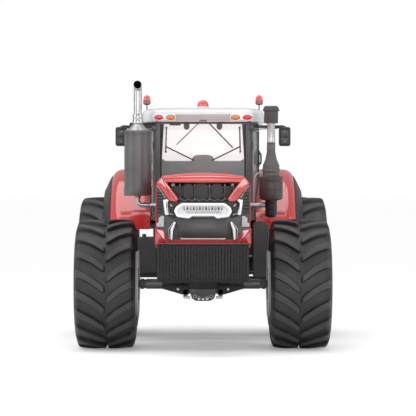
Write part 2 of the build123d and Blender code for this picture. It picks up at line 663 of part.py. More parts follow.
def drawbar():
    """The swinging drawbar and its hanger under the rear axle."""
    z = (DRAWBAR_Z - DRAWBAR_T / 2, DRAWBAR_Z + DRAWBAR_T / 2)
    front_y = REAR_AXLE_Y - 350
    tongue = block((-60, 60), (front_y, DRAWBAR_HOLE_Y), z)
    tongue += rod_z(75, 0, DRAWBAR_HOLE_Y, z, 16)
    tongue -= rod_z(DRAWBAR_HOLE_R, 0, DRAWBAR_HOLE_Y, (z[0] - 10, z[1] + 10))
    hanger_y = (HOUSING_REAR_Y - 170, HOUSING_REAR_Y - 92)
    hanger = block((-150, 150), hanger_y, (z[0] - 20, REAR_HOUSING_Z[0] - SEAT_GAP))
    hanger -= block((-110, 110), (hanger_y[0] - 10, hanger_y[1] + 10), (z[0], z[1] + 30))
    post = block((-70, 70), (front_y, front_y + 60), (z[1] - 5, GEARBOX_UNDER_Z[1] - SEAT_GAP))
    return tongue + hanger + post


def fuel_tank(x, z):
    """A moulded tank with rounded edges."""
    tank = block(x, TANK_Y, z)
    return fillet(tank.edges().filter_by(Axis.Y), 55)


def fuel_tanks():
    """The left tank, and the right one with its filler."""
    left = fuel_tank((TANK_OUTER_X - TANK_LEFT_W, TANK_OUTER_X), TANK_LEFT_Z)
    right = fuel_tank((-TANK_OUTER_X, TANK_RIGHT_W - TANK_OUTER_X), TANK_RIGHT_Z)
    right += rod_z(30, -TANK_OUTER_X + 104, TANK_Y[0] + 60,
                   (TANK_RIGHT_Z[1] - 5, TANK_RIGHT_Z[1] + 48), 16)
    return left, right


def steps():
    """The left ladder: two cheeks and four treads, hung on the tank beside it."""
    y0, y1 = STEP_Y
    ladder = []
    for z in (STEP_Z[1] - 200, STEP_Z[1] - 490):
        ladder.append(block((TANK_OUTER_X + SEAT_GAP, STEP_X[0] + 10), STEP_Y, (z, z + 40)))
    for y in (y0, y1 - 12):
        ladder.append(block(STEP_X, (y, y + 12), STEP_Z))
    for i in range(4):
        z = STEP_Z[0] + 30 + i * TREAD_PITCH
        ladder.append(block(STEP_X, STEP_Y, (z, z + 30)))
    return sum(ladder[1:], ladder[0])


# ------------------------------------------------------------------ rear fenders
FENDER_FACETS = 18
NECK_FACETS = round(FENDER_FACETS * (FENDER_ANGLES[1] - FENDER_NECK_ANGLE)
                    / (FENDER_ANGLES[1] - FENDER_ANGLES[0]))
FENDER_STEP = (FENDER_ANGLES[1] - FENDER_ANGLES[0]) / FENDER_FACETS
NECK_START = FENDER_ANGLES[1] - NECK_FACETS * FENDER_STEP
FENDER_EDGE_R = FENDER_R - 105


def fender_band(points, facets, start):
    """A skin swept round the fender's axis, from (x, radius) points of its outer face."""
    inner = [(x, r - FENDER_T) for x, r in reversed(points)]
    band = faceted([*points, *inner], facets, start=start, sweep=facets * FENDER_STEP)
    return Pos(0, FENDER_Y, FENDER_Z) * band


def fender():
    """The left rear fender's painted skin, reaching in to the cab's slanted side in front."""
    skin = fender_band([
        (CAB_SIDE_X + SEAT_GAP, FENDER_R), (FENDER_FLAT_X, FENDER_R), (FENDER_EDGE_X - 60, FENDER_R - 32),
        (FENDER_EDGE_X, FENDER_EDGE_R)], FENDER_FACETS, FENDER_ANGLES[0])
    neck = fender_band([(FENDER_NECK_X, FENDER_R), (CAB_SIDE_X + 10, FENDER_R)],
                       NECK_FACETS, NECK_START)
    return skin + neck


def fender_flare():
    """The left fender's black outer flare."""
    return fender_band([
        (FENDER_EDGE_X + SEAT_GAP, FENDER_EDGE_R),
        (FENDER_EDGE_X + 60, FENDER_EDGE_R - 0.42 * (FENDER_EDGE_R - FLARE_LIP_R)),
        (FLARE_EDGE_X, FLARE_LIP_R)], FENDER_FACETS, FENDER_ANGLES[0])


# ------------------------------------------------------------------ cab
def cab_tub():
    """The cab's floor, door sills, side walls inside the fenders and rear wall."""
    half, half_front = CAB_SIDE_X, CAB_HALF_FRONT - 33
    floor_z = (FLOOR_UNDER_Z, CAB_FLOOR_Z)
    wall_y = (CAB_FRONT_Y + 350, CAB_REAR_Y)
    floor = block((-half_front, half_front), (CAB_FRONT_Y, CAB_REAR_Y), floor_z)
    floor += block((-half, half), (CAB_FRONT_Y + 410, CAB_REAR_Y), floor_z)
    floor += block((-half_front, half_front), (CAB_FRONT_Y, CAB_FRONT_Y + WALL_T),
                   (CAB_FLOOR_Z - 5, DOOR_Z[0]))
    disc = rod_x(FENDER_R + 19, (-half - 5, half + 5), FENDER_Y, FENDER_Z)
    wall = block((-half, half), wall_y, (CAB_FLOOR_Z - 5, SILL_SIDE_Z)) & disc
    wall += block((-half, half), (DOOR_REAR_Y + 40, CAB_REAR_Y), (SILL_SIDE_Z - 400, SILL_SIDE_Z))
    wall += block((-half, half), (CAB_REAR_Y - WALL_T, CAB_REAR_Y), (SILL_SIDE_Z - 5, SILL_REAR_Z))
    room = block((-half + WALL_T, half - WALL_T), (wall_y[0] - 10, CAB_REAR_Y - WALL_T),
                 (CAB_FLOOR_Z, SILL_REAR_Z + 10))
    tub = floor + (wall - room)
    neck_r = FENDER_R - FENDER_T - 3
    neck = [(FENDER_NECK_X - 3, neck_r), (FENDER_NECK_X - 3, FENDER_R + 60),
            (half + 60, FENDER_R + 60), (half + 60, neck_r)]
    clear = faceted(neck, NECK_FACETS, start=NECK_START - 0.15, sweep=NECK_FACETS * FENDER_STEP + 3)
    clear = Pos(0, FENDER_Y, FENDER_Z) * clear
    tub -= clear
    tub -= mirrored(clear)
    for side in (-1, 1):
        for y, top in ((CAB_FRONT_Y + 50, GEARBOX_TOP_Z[0]), (CAB_REAR_Y - 570, GEARBOX_TOP_Z[1])):
            tub += block(sorted((side * 130, side * 195)), (y, y + 120),
                         (top + SEAT_GAP, FLOOR_UNDER_Z + 5))
    return tub


def door_hinges(on_door, grow=0.0):
    """The left door's hinge barrels, or the ears above and below them on the pillar."""
    found = []
    for z in HINGE_Z:
        if on_door:
            spans = [(z, z + HINGE_L)]
        else:
            spans = [(z - 30, z - SEAT_GAP), (z + HINGE_L + SEAT_GAP, z + HINGE_L + 30)]
        for low, high in spans:
            found.append(rod_z(HINGE_R + 2 * grow, CAB_HALF_FRONT, DOOR_HINGE_Y,
                               (low - grow, high + grow)))
    return found


def a_pillar(grow=0.0):
    """The left A pillar, between windshield and door."""
    y = DOOR_HINGE_Y - MOVE_GAP
    x = CAB_HALF_FRONT
    return plan_plate([
        (x - PILLAR_W - 21, CAB_FRONT_Y), (x - 35 + grow, CAB_FRONT_Y - grow), (x - 2 + grow, y),
        (x - PILLAR_W, y)], (DOOR_Z[0] + SEAT_GAP, RING_Z[1]))


def cab_frame():
    """Pillars, door-hinge ears and the top ring."""
    y_a, y_b = DOOR_HINGE_Y - MOVE_GAP, DOOR_REAR_Y + 40
    x_a, x_b = CAB_HALF_FRONT, CAB_SIDE_X
    left = a_pillar()
    for ear in door_hinges(False):
        left += ear
    for zone in door_hinges(True, 0.3):
        left -= zone
    left += block((x_b - 45, x_b), (y_b, y_b + 70), (SILL_SIDE_Z + SEAT_GAP, RING_Z[1]))
    left += block((x_b - PILLAR_W, x_b), (CAB_REAR_Y - PILLAR_W, CAB_REAR_Y),
                  (SILL_REAR_Z + SEAT_GAP, RING_Z[1]))
    left += plan_plate([
        (x_a - PILLAR_W, y_a), (x_a - DOOR_T - 8, y_a), (x_b - DOOR_T - 10, y_b), (x_b, y_b),
        (x_b, CAB_REAR_Y), (x_b - PILLAR_W, CAB_REAR_Y), (x_b - PILLAR_W, y_b)], RING_Z)
    frame = left + mirrored(left)
    frame += block((-x_a + 73, x_a - 73), (CAB_FRONT_Y + 4, CAB_FRONT_Y + 56), HEADER_Z)
    frame += block((-x_b + 75, x_b - 75), (CAB_REAR_Y - PILLAR_W, CAB_REAR_Y), RING_Z)
    return frame


def slanted(piece):
    """Swings a piece drawn parallel to the centre plane onto the slanted side of the cab."""
    slant = degrees(atan2(CAB_HALF_MID - CAB_HALF_FRONT, DOOR_L))
    return piece.rotate(Axis((CAB_HALF_FRONT, DOOR_HINGE_Y, 0), (0, 0, 1)), -slant)


def door_shape(inset):
    """The left door's outline, drawn inwards by inset, as a slab of the door's thickness."""
    slab = block((CAB_HALF_FRONT - DOOR_T, CAB_HALF_FRONT), (DOOR_HINGE_Y + inset, DOOR_REAR_Y - inset),
                 (DOOR_Z[0] + SEAT_GAP + MOVE_GAP + inset, DOOR_Z[1] - inset))
    sill = faceted([(CAB_HALF_FRONT - 2 * DOOR_T, 0), (CAB_HALF_FRONT - 2 * DOOR_T, 1),
                    (CAB_HALF_FRONT + DOOR_T, 1), (CAB_HALF_FRONT + DOOR_T, 0)], 60)
    sill = scale(sill, by=(1, FENDER_R + 25 + inset, FENDER_R + 25 + inset))
    return slab - Pos(0, FENDER_Y, FENDER_Z) * sill


def door():
    """The left door's frame with its hinge barrels."""
    frame = slanted(door_shape(0) - door_shape(DOOR_RAIL))
    for barrel in door_hinges(True):
        frame += barrel
    for zone in door_hinges(False, 0.3):
        frame -= zone
    return frame


def door_glass():
    """The left door's pane."""
    mid = CAB_HALF_FRONT - DOOR_T / 2
    layer = block((mid - GLASS_T / 2, mid + GLASS_T / 2), (DOOR_HINGE_Y, DOOR_REAR_Y), DOOR_Z)
    return slanted(door_shape(DOOR_RAIL + SEAT_GAP) & layer)


def cab_glass():
    """Windshield, rear window and quarter windows."""
    half, sag = CAB_HALF_FRONT - PILLAR_W - 22, 60
    y = CAB_FRONT_Y + 8
    outer = ThreePointArc((-half, y), (0, y - sag), (half, y))
    inner = ThreePointArc((half, y + GLASS_T), (0, y + GLASS_T - sag), (-half, y + GLASS_T))
    ring = make_face(Curve() + [outer, Line(outer @ 1, inner @ 0), inner, Line(inner @ 1, outer @ 0)])
    z0, z1 = DOOR_Z[0] + SEAT_GAP, RING_Z[0] - SEAT_GAP
    front = extrude(Plane.XY.offset(z0) * ring, HEADER_Z[0] - SEAT_GAP - z0)
    rear_half = CAB_SIDE_X - PILLAR_W - SEAT_GAP
    rear = block((-rear_half, rear_half), (CAB_REAR_Y - 30, CAB_REAR_Y - 30 + GLASS_T),
                 (SILL_REAR_Z + SEAT_GAP, z1))
    quarter = block((CAB_SIDE_X - 25, CAB_SIDE_X - 25 + GLASS_T),
                    (DOOR_REAR_Y + 110 + SEAT_GAP, CAB_REAR_Y - PILLAR_W - SEAT_GAP),
                    (SILL_SIDE_Z + SEAT_GAP, z1))
    return [front, rear, quarter, mirrored(quarter)]


def roof():
    """The white roof: a wide fascia with lamp pods under tapered shoulders and a low crown."""
    half = CAB_HALF_MID + 60
    y1 = CAB_REAR_Y + 110
    outline = [
        (-half + 175, ROOF_FRONT_Y), (half - 175, ROOF_FRONT_Y), (half - 25, ROOF_FRONT_Y + 230),
        (half, ROOF_FRONT_Y + 600), (half, y1 - 460), (half - 55, y1), (-half + 55, y1),
        (-half, y1 - 460), (-half, ROOF_FRONT_Y + 600), (-half + 25, ROOF_FRONT_Y + 230)]
    shell = plan_plate(outline, (CAB_TOP_Z, CAB_TOP_Z + ROOF_BASE_H))
    top = Plane.XY.offset(CAB_TOP_Z + ROOF_BASE_H) * make_face(Polyline(*outline, close=True))
    shell += extrude(top, ROOF_CROWN_H, taper=ROOF_TAPER)
    pod = front_plate([
        (395, CAB_TOP_Z + 40), (425, CAB_TOP_Z + 18), (half - 200, CAB_TOP_Z + 18),
        (half - 178, CAB_TOP_Z + 40), (half - 178, CAB_TOP_Z + 100), (half - 200, CAB_TOP_Z + 118),
        (440, CAB_TOP_Z + 118), (395, CAB_TOP_Z + 95)], (ROOF_FRONT_Y - POD_T, ROOF_FRONT_Y + 5))
    return shell + pod + mirrored(pod)


def roof_lamps():
    """Four oval lamps in the front fascia and two work lamps behind."""
    lamps = []
    front, rear = ROOF_FRONT_Y - POD_T - SEAT_GAP, CAB_REAR_Y + 110 + SEAT_GAP
    for x in (-650, -476, 476, 650):
        oval = make_face(Polyline(*[(x + 66 * cos(a * pi / 8), CAB_TOP_Z + 66 + 34 * sin(a * pi / 8))
                                    for a in range(16)], close=True))
        plane = Plane(origin=(0, front, 0), x_dir=(1, 0, 0), z_dir=(0, -1, 0))
        lamps.append(extrude(plane * oval, 14))
    for x in (-600, 600):
        lamps.append(block((x - 80, x + 80), (rear, rear + 30), (CAB_TOP_Z + 25, CAB_TOP_Z + 100)))
    return lamps


def beacons():
    """The flashing beacon on the roof and the two on stalks."""
    top = CAB_TOP_Z + ROOF_BASE_H + ROOF_CROWN_H + SEAT_GAP
    dome = [(top, 0), (top, 84), (top + 50, 84), (top + 100, 70), (top + 122, 40), (top + 126, 0)]
    centre = Pos(0, CAB_FRONT_Y + 300) * faceted(dome, 16, "z")
    x, y, z = CAB_HALF_MID - 22, CAB_FRONT_Y + 200, CAB_TOP_Z + 261
    flask = [(z, 0), (z, 40), (z + 20, 54), (z + 80, 54), (z + 125, 44), (z + 148, 22), (z + 150, 0)]
    left = Pos(x, y) * faceted(flask, 12, "z")
    left += rod_z(9, x, y, (CAB_TOP_Z + ROOF_BASE_H - 10, z + 5), 8)
    left -= Pos(0, 0, SEAT_GAP) * roof()
    return [centre, left.solids().sort_by(Axis.Z)[-1], mirrored(left.solids().sort_by(Axis.Z)[-1])]


def dash():
    """The dashboard with its instrument hood, on the steering column's console."""
    foot = CAB_FLOOR_Z + SEAT_GAP
    y, top = CAB_FRONT_Y + 100, BINNACLE_TOP_Z
    console = side_plate([
        (y, foot), (y, top - 260), (y + 80, top - 180), (y + 270, top - 240), (y + 230, top - 460),
        (y + 170, foot)], (-240, 240))
    hood_ = front_plate(both([(95, top), (150, top - 35), (170, top - 120), (170, top - 230)]),
                        (y + 40, y + 160))
    return console + hood_


def steering_wheel():
    """The wheel on its column."""
    ring = [(16 * cos(a * pi / 3), 200 + 16 * sin(a * pi / 3)) for a in range(6)]
    wheel = faceted(ring, 20, "z") + rod_z(45, 0, 0, (-15, 15), 12)
    wheel += Box(390, 30, 14) + Box(30, 390, 14)
    y = CAB_FRONT_Y + 540
    column = bar((0, y, 2530), (0, y - 210, 2380), 30) - Pos(0, SEAT_GAP, 0) * dash()
    return Pos(0, y, 2530) * Rot(-35, 0, 0) * wheel + column.solids().sort_by(Axis.Y)[-1]


def seat():
    """The operator's seat on its base."""
    y = CAB_REAR_Y - 390
    low, top = SEAT_Z
    base = block((-170, 170), (y - 380, y), (CAB_FLOOR_Z + SEAT_GAP, low))
    cushion = side_plate([(y - 510, low + 20), (y - 490, low + 95), (y - 440, low + 120),
                          (y + 20, low + 110), (y + 20, low), (y - 490, low)], (-260, 260))
    back = side_plate([(y - 20, low + 60), (y + 40, top - 60), (y + 60, top), (y + 110, top),
                       (y + 130, top - 60), (y + 100, low), (y, low)], (-215, 215))
    return base + cushion + back


def mirrors():
    """The left mirror and its arm, from the A pillar."""
    z = CAB_TOP_Z - 54
    x, y = CAB_HALF_FRONT + 457, CAB_FRONT_Y
    arm = bar((CAB_HALF_FRONT - 33, y + 30, z), (x, y, z), 16) - a_pillar(SEAT_GAP)
    arm = arm.solids().sort_by(Axis.X)[-1]
    drop = bar((x, y, z + 14), (x + 15, y, z - 45), 12)
    head = block((x - 73, x + 104), (y - 30, y + 30), (z - 298, z - 35))
    head = chamfer(head.edges().filter_by(Axis.Y), 24)
    return arm + drop + head


# ------------------------------------------------------------------ exhaust and intake
def elbow(start, turn, end, radius, r, sides):
    """A faceted pipe of radius r from start to end, whose square bend is mitred in three steps."""
    corner, a, b = Vector(turn), Vector(start), Vector(end)
    to_a, to_b = (a - corner).normalized(), (b - corner).normalized()
    centre = corner + (to_a + to_b) * radius
    arc = [centre - to_b * (radius * cos(t)) - to_a * (radius * sin(t))
           for t in (0, pi / 6, pi / 3, pi / 2)]
    line = [a, *arc, b]
    side = to_a.cross(to_b)
    runs = [(q - p).normalized() for p, q in zip(line, line[1:])]
    rings = []
    for p, behind, ahead in zip(line, [runs[0], *runs], [*runs, runs[-1]]):
        along = (behind + ahead) / 2
        other = side.cross(along.normalized()) / along.length
        rings.append([p + side * (r * cos(2 * pi * k / sides)) + other * (r * sin(2 * pi * k / sides))
                      for k in range(sides)])
    faces = [Face(Wire.make_polygon(rings[0])), Face(Wire.make_polygon(rings[-1]))]
    for near, far in zip(rings, rings[1:]):
        for k in range(sides):
            faces.append(Face(Wire.make_polygon([near[k - 1], near[k], far[k], far[k - 1]])))
    return closed_solid(faces)


def exhaust_can():
    """The aftertreatment canister beside the hood, with its collars and cone."""
    z0, z1 = STACK_Z
    r = STACK_R
    outline = [(z0, 0), (z0, r - 13), (z0 + 14, r), (z0 + 120, r), (z0 + 124, r - 5), (z1 - 178, r - 5),
               (z1 - 174, r), (z1 - 116, r), (z1 - 106, r - 20), (z1 - 6, 70), (z1, 70), (z1, 0)]
    return Pos(STACK_X, STACK_Y) * faceted(outline, 28, "z")


def exhaust_pipe():
    """The stack above the canister with its forward elbow, and the inlet elbow below."""
    x, y = STACK_X, STACK_Y
    z0, z1 = STACK_Z[1] + SEAT_GAP, STACK_MOUTH_Z
    collar = faceted([(z0, 0), (z0, 82), (z0 + 60, 76), (z0 + 134, 76), (z0 + 140, 62),
                      (z0 + 140, 0)], 20, "z")
    stack = Pos(x, y) * collar + elbow((x, y, z0 + 130), (x, y, z1), (x, y - 160, z1), 90,
                                       STACK_PIPE_R, 16)
    stack -= rod_y(STACK_PIPE_R - 8, x, (y - 165, y - 95), z1, 16)
    top = STACK_Z[0] - SEAT_GAP
    inlet = elbow((x, y, top), (x, y, SIDE_PIPE_Z), (-HOOD_HALF - SEAT_GAP, y, SIDE_PIPE_Z), 70,
                  36, 12)
    return [stack, inlet]


def air_cleaner():
    """The air cleaner's bowl and boot with its ribbed hose cone, and the pre-cleaner cup on top."""
    z0, z1 = CLEANER_Z
    boot = CLEANER_BOOT_R
    bowl = [(z0, 0), (z0 + 4, 55), (z0 + 46, boot), (z0 + 251, boot), (z0 + 263, 150), (z0 + 281, 172),
            (z0 + 600, 172), (z0 + 607, 126), (z0 + 665, 126), (z0 + 672, 134), (z0 + 712, 134),
            (z0 + 719, 124), (z0 + 765, 124), (z0 + 850, 88), (z1 - 126, 64), (z1, 64), (z1, 0)]
    c0, c1 = CLEANER_CUP_Z
    cup = [(c0, 0), (c0, 104), (c1 - 75, 104), (c1 - 68, 125), (c1 - 58, 125), (c1, 96), (c1, 0)]
    place = Pos(CLEANER_X, STACK_Y)
    return [place * faceted(bowl, 24, "z"), place * faceted(cup, 24, "z")]


def intake_tube():
    """The bright riser between boot and cup, and the duct into the cowl."""
    riser = rod_z(61, CLEANER_X, STACK_Y, (CLEANER_Z[1] + SEAT_GAP, CLEANER_CUP_Z[0] - SEAT_GAP), 20)
    duct = rod_x(38, (HOOD_HALF + SEAT_GAP, CLEANER_X - CLEANER_BOOT_R - SEAT_GAP),
                 STACK_Y, SIDE_PIPE_Z, 14)
    return [riser, duct]


# ------------------------------------------------------------------ hood
HOOD_STATIONS = [
    # y, crown z, half width of the crown, half width of the side
    (HOOD_FRONT_Y, HOOD_CROWN_Z[0], HOOD_HALF - 106, HOOD_NOSE_HALF),
    (HOOD_FRONT_Y + 1100, (HOOD_CROWN_Z[0] + HOOD_CROWN_Z[1]) / 2, HOOD_HALF - 95, HOOD_HALF),
    (COWL_REAR_Y, HOOD_CROWN_Z[1], HOOD_HALF - 95, HOOD_HALF),
]
HOOD_HINGE_Y = HOOD_REAR_Y + MOVE_GAP / 2
HOOD_HINGE_Z = HOOD_CROWN_Z[1] + 2
CROWN_DROP = 42
SHOULDER_DROP = 150
SKIN_LOW_Z = 1200
CROWN_FACETS = 8
NOSE_PLANE = Plane(origin=(0, HOOD_FRONT_Y, 0), x_dir=(1, 0, 0), z_dir=(0, -1, 0))


def crown_points(crown, half):
    """Points across the hood's crown, a shallow arch, from its left edge to its right edge."""
    spread = [1 - 2 * i / CROWN_FACETS for i in range(CROWN_FACETS + 1)]
    return [(half * s, crown - CROWN_DROP * s * s) for s in spread]


def hood_section(y, crown, crown_half, side_half, t):
    """One cross-section of the hood as a face, drawn inwards by t."""
    side = side_half - t
    low = HOOD_SIDE_Z - (400 if t else 0)
    arch = crown_points(crown - t, crown_half - 0.6 * t)
    shoulder = crown - SHOULDER_DROP - 0.6 * t
    outline = Polyline((side, low), (side, shoulder), *arch, (-side, shoulder), (-side, low), close=True)
    return Plane(origin=(0, y, 0), x_dir=(1, 0, 0), z_dir=(0, -1, 0)) * make_face(outline)


def hood_skin():
    """The hood's skin from the front lip to the cab, as one shell."""
    outer = loft([hood_section(*s, 0) for s in HOOD_STATIONS], ruled=True)
    inner = loft([hood_section(*s, HOOD_T) for s in HOOD_STATIONS], ruled=True)
    front = extrude(hood_section(*HOOD_STATIONS[0], HOOD_T), 50)
    rear = extrude(hood_section(*HOOD_STATIONS[-1], HOOD_T), -50)
    return outer - inner - front - rear


def hood_barrel(grow=0.0):
    """The hood's hinge barrel at the centre of its rear edge."""
    x = HOOD_BARREL_X + grow
    return rod_x(HOOD_HINGE_R + 2 * grow, (-x, x), HOOD_HINGE_Y, HOOD_HINGE_Z)


def hood_ears(grow=0.0):
    """The cowl's ears on both sides of the hood's hinge barrel."""
    x0, x1 = HOOD_BARREL_X + SEAT_GAP - grow, HOOD_EAR_X + grow
    return [rod_x(HOOD_HINGE_R + 2 * grow, span, HOOD_HINGE_Y, HOOD_HINGE_Z)
            for span in ((-x1, -x0), (x0, x1))]


def hood():
    """The opening hood: vented sides, front lip and the two arms that reach down to the lamps."""
    z_top = HOOD_CROWN_Z[1] + 50
    skin = hood_skin() & block((-900, 900), (HOOD_FRONT_Y - 10, HOOD_REAR_Y), (SKIN_LOW_Z, z_top))
    for i in range(VENT_COUNT):
        y = HOOD_FRONT_Y + 420 + i * VENT_PITCH
        slot = side_plate([(y, HOOD_SIDE_Z + 60), (y + 90, HOOD_SIDE_Z + 60),
                           (y + 20, HOOD_SIDE_Z + 520), (y - 70, HOOD_SIDE_Z + 520)], (-900, 900))
        skin -= slot
    crown, half = HOOD_CROWN_Z[0], HOOD_STATIONS[0][2]
    arch = crown_points(crown, half)
    lip = make_face(Polyline(*arch, (-half + 45, crown - 124), (half - 45, crown - 124), close=True))
    skin += extrude(NOSE_PLANE * lip, LIP_L)
    arm = front_plate([
        (half, crown - 40), (half + 79, crown - 135), (half - 90, crown - 368),
        (half - 119, crown - 386), (half - 189, crown - 386), (half - 218, crown - 355),
        (half - 49, crown - 121)], (HOOD_FRONT_Y - LIP_L, HOOD_FRONT_Y + 5))
    skin += arm
    skin += mirrored(arm)
    skin += hood_barrel()
    for zone in hood_ears(0.3):
        skin -= zone
    return skin


def cowl():
    """The fixed rear part of the bonnet with its firewall, which the side pipes pass into."""
    z_top = HOOD_CROWN_Z[1] + 50
    skin = hood_skin() & block((-900, 900), (HOOD_REAR_Y + MOVE_GAP, COWL_REAR_Y + 10), (SKIN_LOW_Z, z_top))
    for ear in hood_ears():
        skin += ear
    wall_y = (COWL_REAR_Y - 112, COWL_REAR_Y - 98)
    half = HOOD_HALF - HOOD_T + 2
    skin += block((-half, half), wall_y, (1900, HOOD_CROWN_Z[1] - SHOULDER_DROP - 30))
    skin += block((-240, 240), wall_y, (GEARBOX_TOP_Z[0] + SEAT_GAP, 1905))
    return skin - hood_barrel(0.3)


def grille():
    """The black front panel: ribbed mesh fields beside the lamps and a folded centre panel."""
    y0, y1 = HOOD_FRONT_Y - PANEL_T, HOOD_FRONT_Y - SEAT_GAP
    half = HOOD_NOSE_HALF
    low, high = APRON_Z[1], PANEL_TOP_Z[1]
    panel = front_plate(both([
        (330, PANEL_TOP_Z[0]), (half - 190, PANEL_TOP_Z[0] + 10), (half - 30, high), (half, high),
        (half, low + SEAT_GAP), (430, 1560 + SEAT_GAP)]), (y0, y1))
    panel -= hood_arm_zone()
    for i in range(RIB_COUNT):
        z = low + 40 + i * RIB_PITCH
        rib = block((half - 130, half - 12), (y0 - 1, y0 + RIB_DEPTH), (z, z + RIB_PITCH / 2))
        panel -= rib
        panel -= mirrored(rib)
    fold = plan_plate([
        (-365, y0 + 5), (-275, y0 - 45), (275, y0 - 45), (365, y0 + 5)], (1592, 1838))
    return panel + fold


def hood_arm_zone():
    """The space that the hood's arms fill in front of the panel's plane, with a seat's clearance."""
    crown, half, gap = HOOD_CROWN_Z[0], HOOD_STATIONS[0][2], SEAT_GAP
    arm = front_plate([
        (half, crown - 40 + gap), (half + 79 + gap, crown - 135), (half - 90 + gap, crown - 368 - gap),
        (half - 119, crown - 386 - gap), (half - 189, crown - 386 - gap),
        (half - 218 - gap, crown - 355), (half - 49 - gap, crown - 121)],
        (HOOD_FRONT_Y - LIP_L - gap, HOOD_FRONT_Y + 5))
    return arm + mirrored(arm)


def bumper():
    """The painted lower apron of the hood: corner pieces joined by a strip above the weights."""
    y0, y1 = HOOD_FRONT_Y - PANEL_T, HOOD_FRONT_Y - SEAT_GAP
    half = HOOD_NOSE_HALF
    low, high = APRON_Z
    apron = front_plate(both([
        (430, 1560), (half, high), (half, low - 6), (500, low - 6), (487, 1490)]), (y0, y1))
    side = side_plate([(y1 - 5, low - 6), (y1 - 5, high - 20), (HOOD_FRONT_Y + 260, HOOD_SIDE_Z - SEAT_GAP),
                       (HOOD_FRONT_Y + 200, low + 44)], (half - 14, half))
    side -= block((half - 30, half + 10), (HOOD_FRONT_Y - SEAT_GAP, HOOD_FRONT_Y + 400),
                  (HOOD_SIDE_Z - SEAT_GAP, high + 10))
    return apron + side + mirrored(side)


def headlamps():
    """The light bar, the bright frames and lenses beside it, the lower lamps and the trim."""
    y1 = HOOD_FRONT_Y - PANEL_T - SEAT_GAP
    bar_ = front_plate(both([
        (300, 2058), (375, 2000), (394, 1945), (352, 1866), (181, 1843), (145, 1877)]), (y1 - 70, y1))
    bar_ -= front_plate(both([(268, 2012), (318, 1972), (300, 1925), (255, 1908)]), (y1 - 75, y1 - 48))
    pieces = [bar_]
    shapes = [
        # outline as (x, z), depth in front of the panel
        ([(478, 2113), (502, 2113), (524, 2050), (500, 1896), (474, 1896), (490, 2040)], 60),
        ([(402, 2030), (452, 2070), (484, 2040), (470, 1905), (380, 1880), (400, 1945)], 30),
        ([(365, 1795), (384, 1812), (474, 1700), (470, 1560), (404, 1546), (392, 1690)], 45),
        ([(525, 1883), (600, 1883), (600, 1790), (628, 1790), (628, 1735), (525, 1735)], 20),
    ]
    for outline, depth in shapes:
        left = front_plate(outline, (y1 - depth, y1))
        pieces += [left, mirrored(left)]
    pieces.append(front_plate(both([(317, 1588), (300, 1564)]), (y1 - 30, y1)))
    return pieces


# ------------------------------------------------------------------ rear linkage
LINK_END_Y = REAR_AXLE_Y + REAR_OVERHANG - LINK_BOSS_R


def lower_links():
    """The left lower link: a tapered bar between ball eyes."""
    length = hypot(LINK_END_Y - LINK_PIN_Y, LINK_END_Z - LINK_PIN_Z)
    link = side_plate([(0, -50), (0, 50), (0.45 * length, 62), (length, 40), (length, -40),
                       (0.45 * length, -50)], (LINK_X - LINK_T / 2, LINK_X + LINK_T / 2))
    for y in (0, length):
        link += rod_x(LINK_BOSS_R, (LINK_X - LINK_EYE_HALF, LINK_X + LINK_EYE_HALF), y, 0)
    link -= rod_x(LINK_EYE_R, (LINK_X - 40, LINK_X + 40), length, 0)
    tilt = degrees(atan2(LINK_END_Z - LINK_PIN_Z, LINK_END_Y - LINK_PIN_Y))
    return Pos(0, LINK_PIN_Y, LINK_PIN_Z) * Rot(tilt, 0, 0) * link


def lift_arms():
    """The left lift arm on the rockshaft's end."""
    y, z = ARM_PIN_Y, ARM_PIN_Z
    return side_plate([
        (y - 70, z - 40), (y - 70, z + 40), (y - 40, z + 68), (y + 40, z + 68),
        (y + ARM_L - 60, z + 40), (y + ARM_L + 35, z + 35), (y + ARM_L + 35, z - 35),
        (y + 60, z - 60), (y - 40, z - 68)], ARM_X)


def lift_rods():
    """The left lift rod with its adjusting sleeve, hung from the arm's end."""
    y = ARM_PIN_Y + ARM_L
    span = (ARM_X[1] + SEAT_GAP, LINK_X - LINK_T / 2 - SEAT_GAP)
    x = sum(span) / 2
    piece = rod_z(ROD_R, x, y, (ARM_PIN_Z - ROD_DROP, ARM_PIN_Z), 12)
    piece += rod_z(ROD_R + 5, x, y, (ARM_PIN_Z - 430, ARM_PIN_Z - 160), 12)
    for z in (ARM_PIN_Z, ARM_PIN_Z - ROD_DROP):
        piece += rod_x(ROD_EYE_R, span, y, z)
    return piece


def top_link():
    """The top link with its turnbuckle sleeve, hooked up behind the cab."""
    eye = (-TOP_EYE_HALF, TOP_EYE_HALF)
    link = rod_y(20, 0, (0, TOP_LINK_L), 0, 12)
    link += rod_x(38, eye, 0, 0)
    link += rod_x(38, eye, TOP_LINK_L, 0)
    link += rod_y(32, 0, (0.28 * TOP_LINK_L, 0.72 * TOP_LINK_L), 0, 12)
    link -= rod_x(TOP_EYE_R, (-30, 30), TOP_LINK_L, 0)
    return Pos(0, TOP_PIN_Y, TOP_PIN_Z) * Rot(TOP_LINK_TILT, 0, 0) * link


def pto_shaft():
    """The stub shaft that drives implements."""
    start = HOUSING_REAR_Y + SEAT_GAP
    return rod_y(PTO_R, 0, (start, start + PTO_L), PTO_Z)


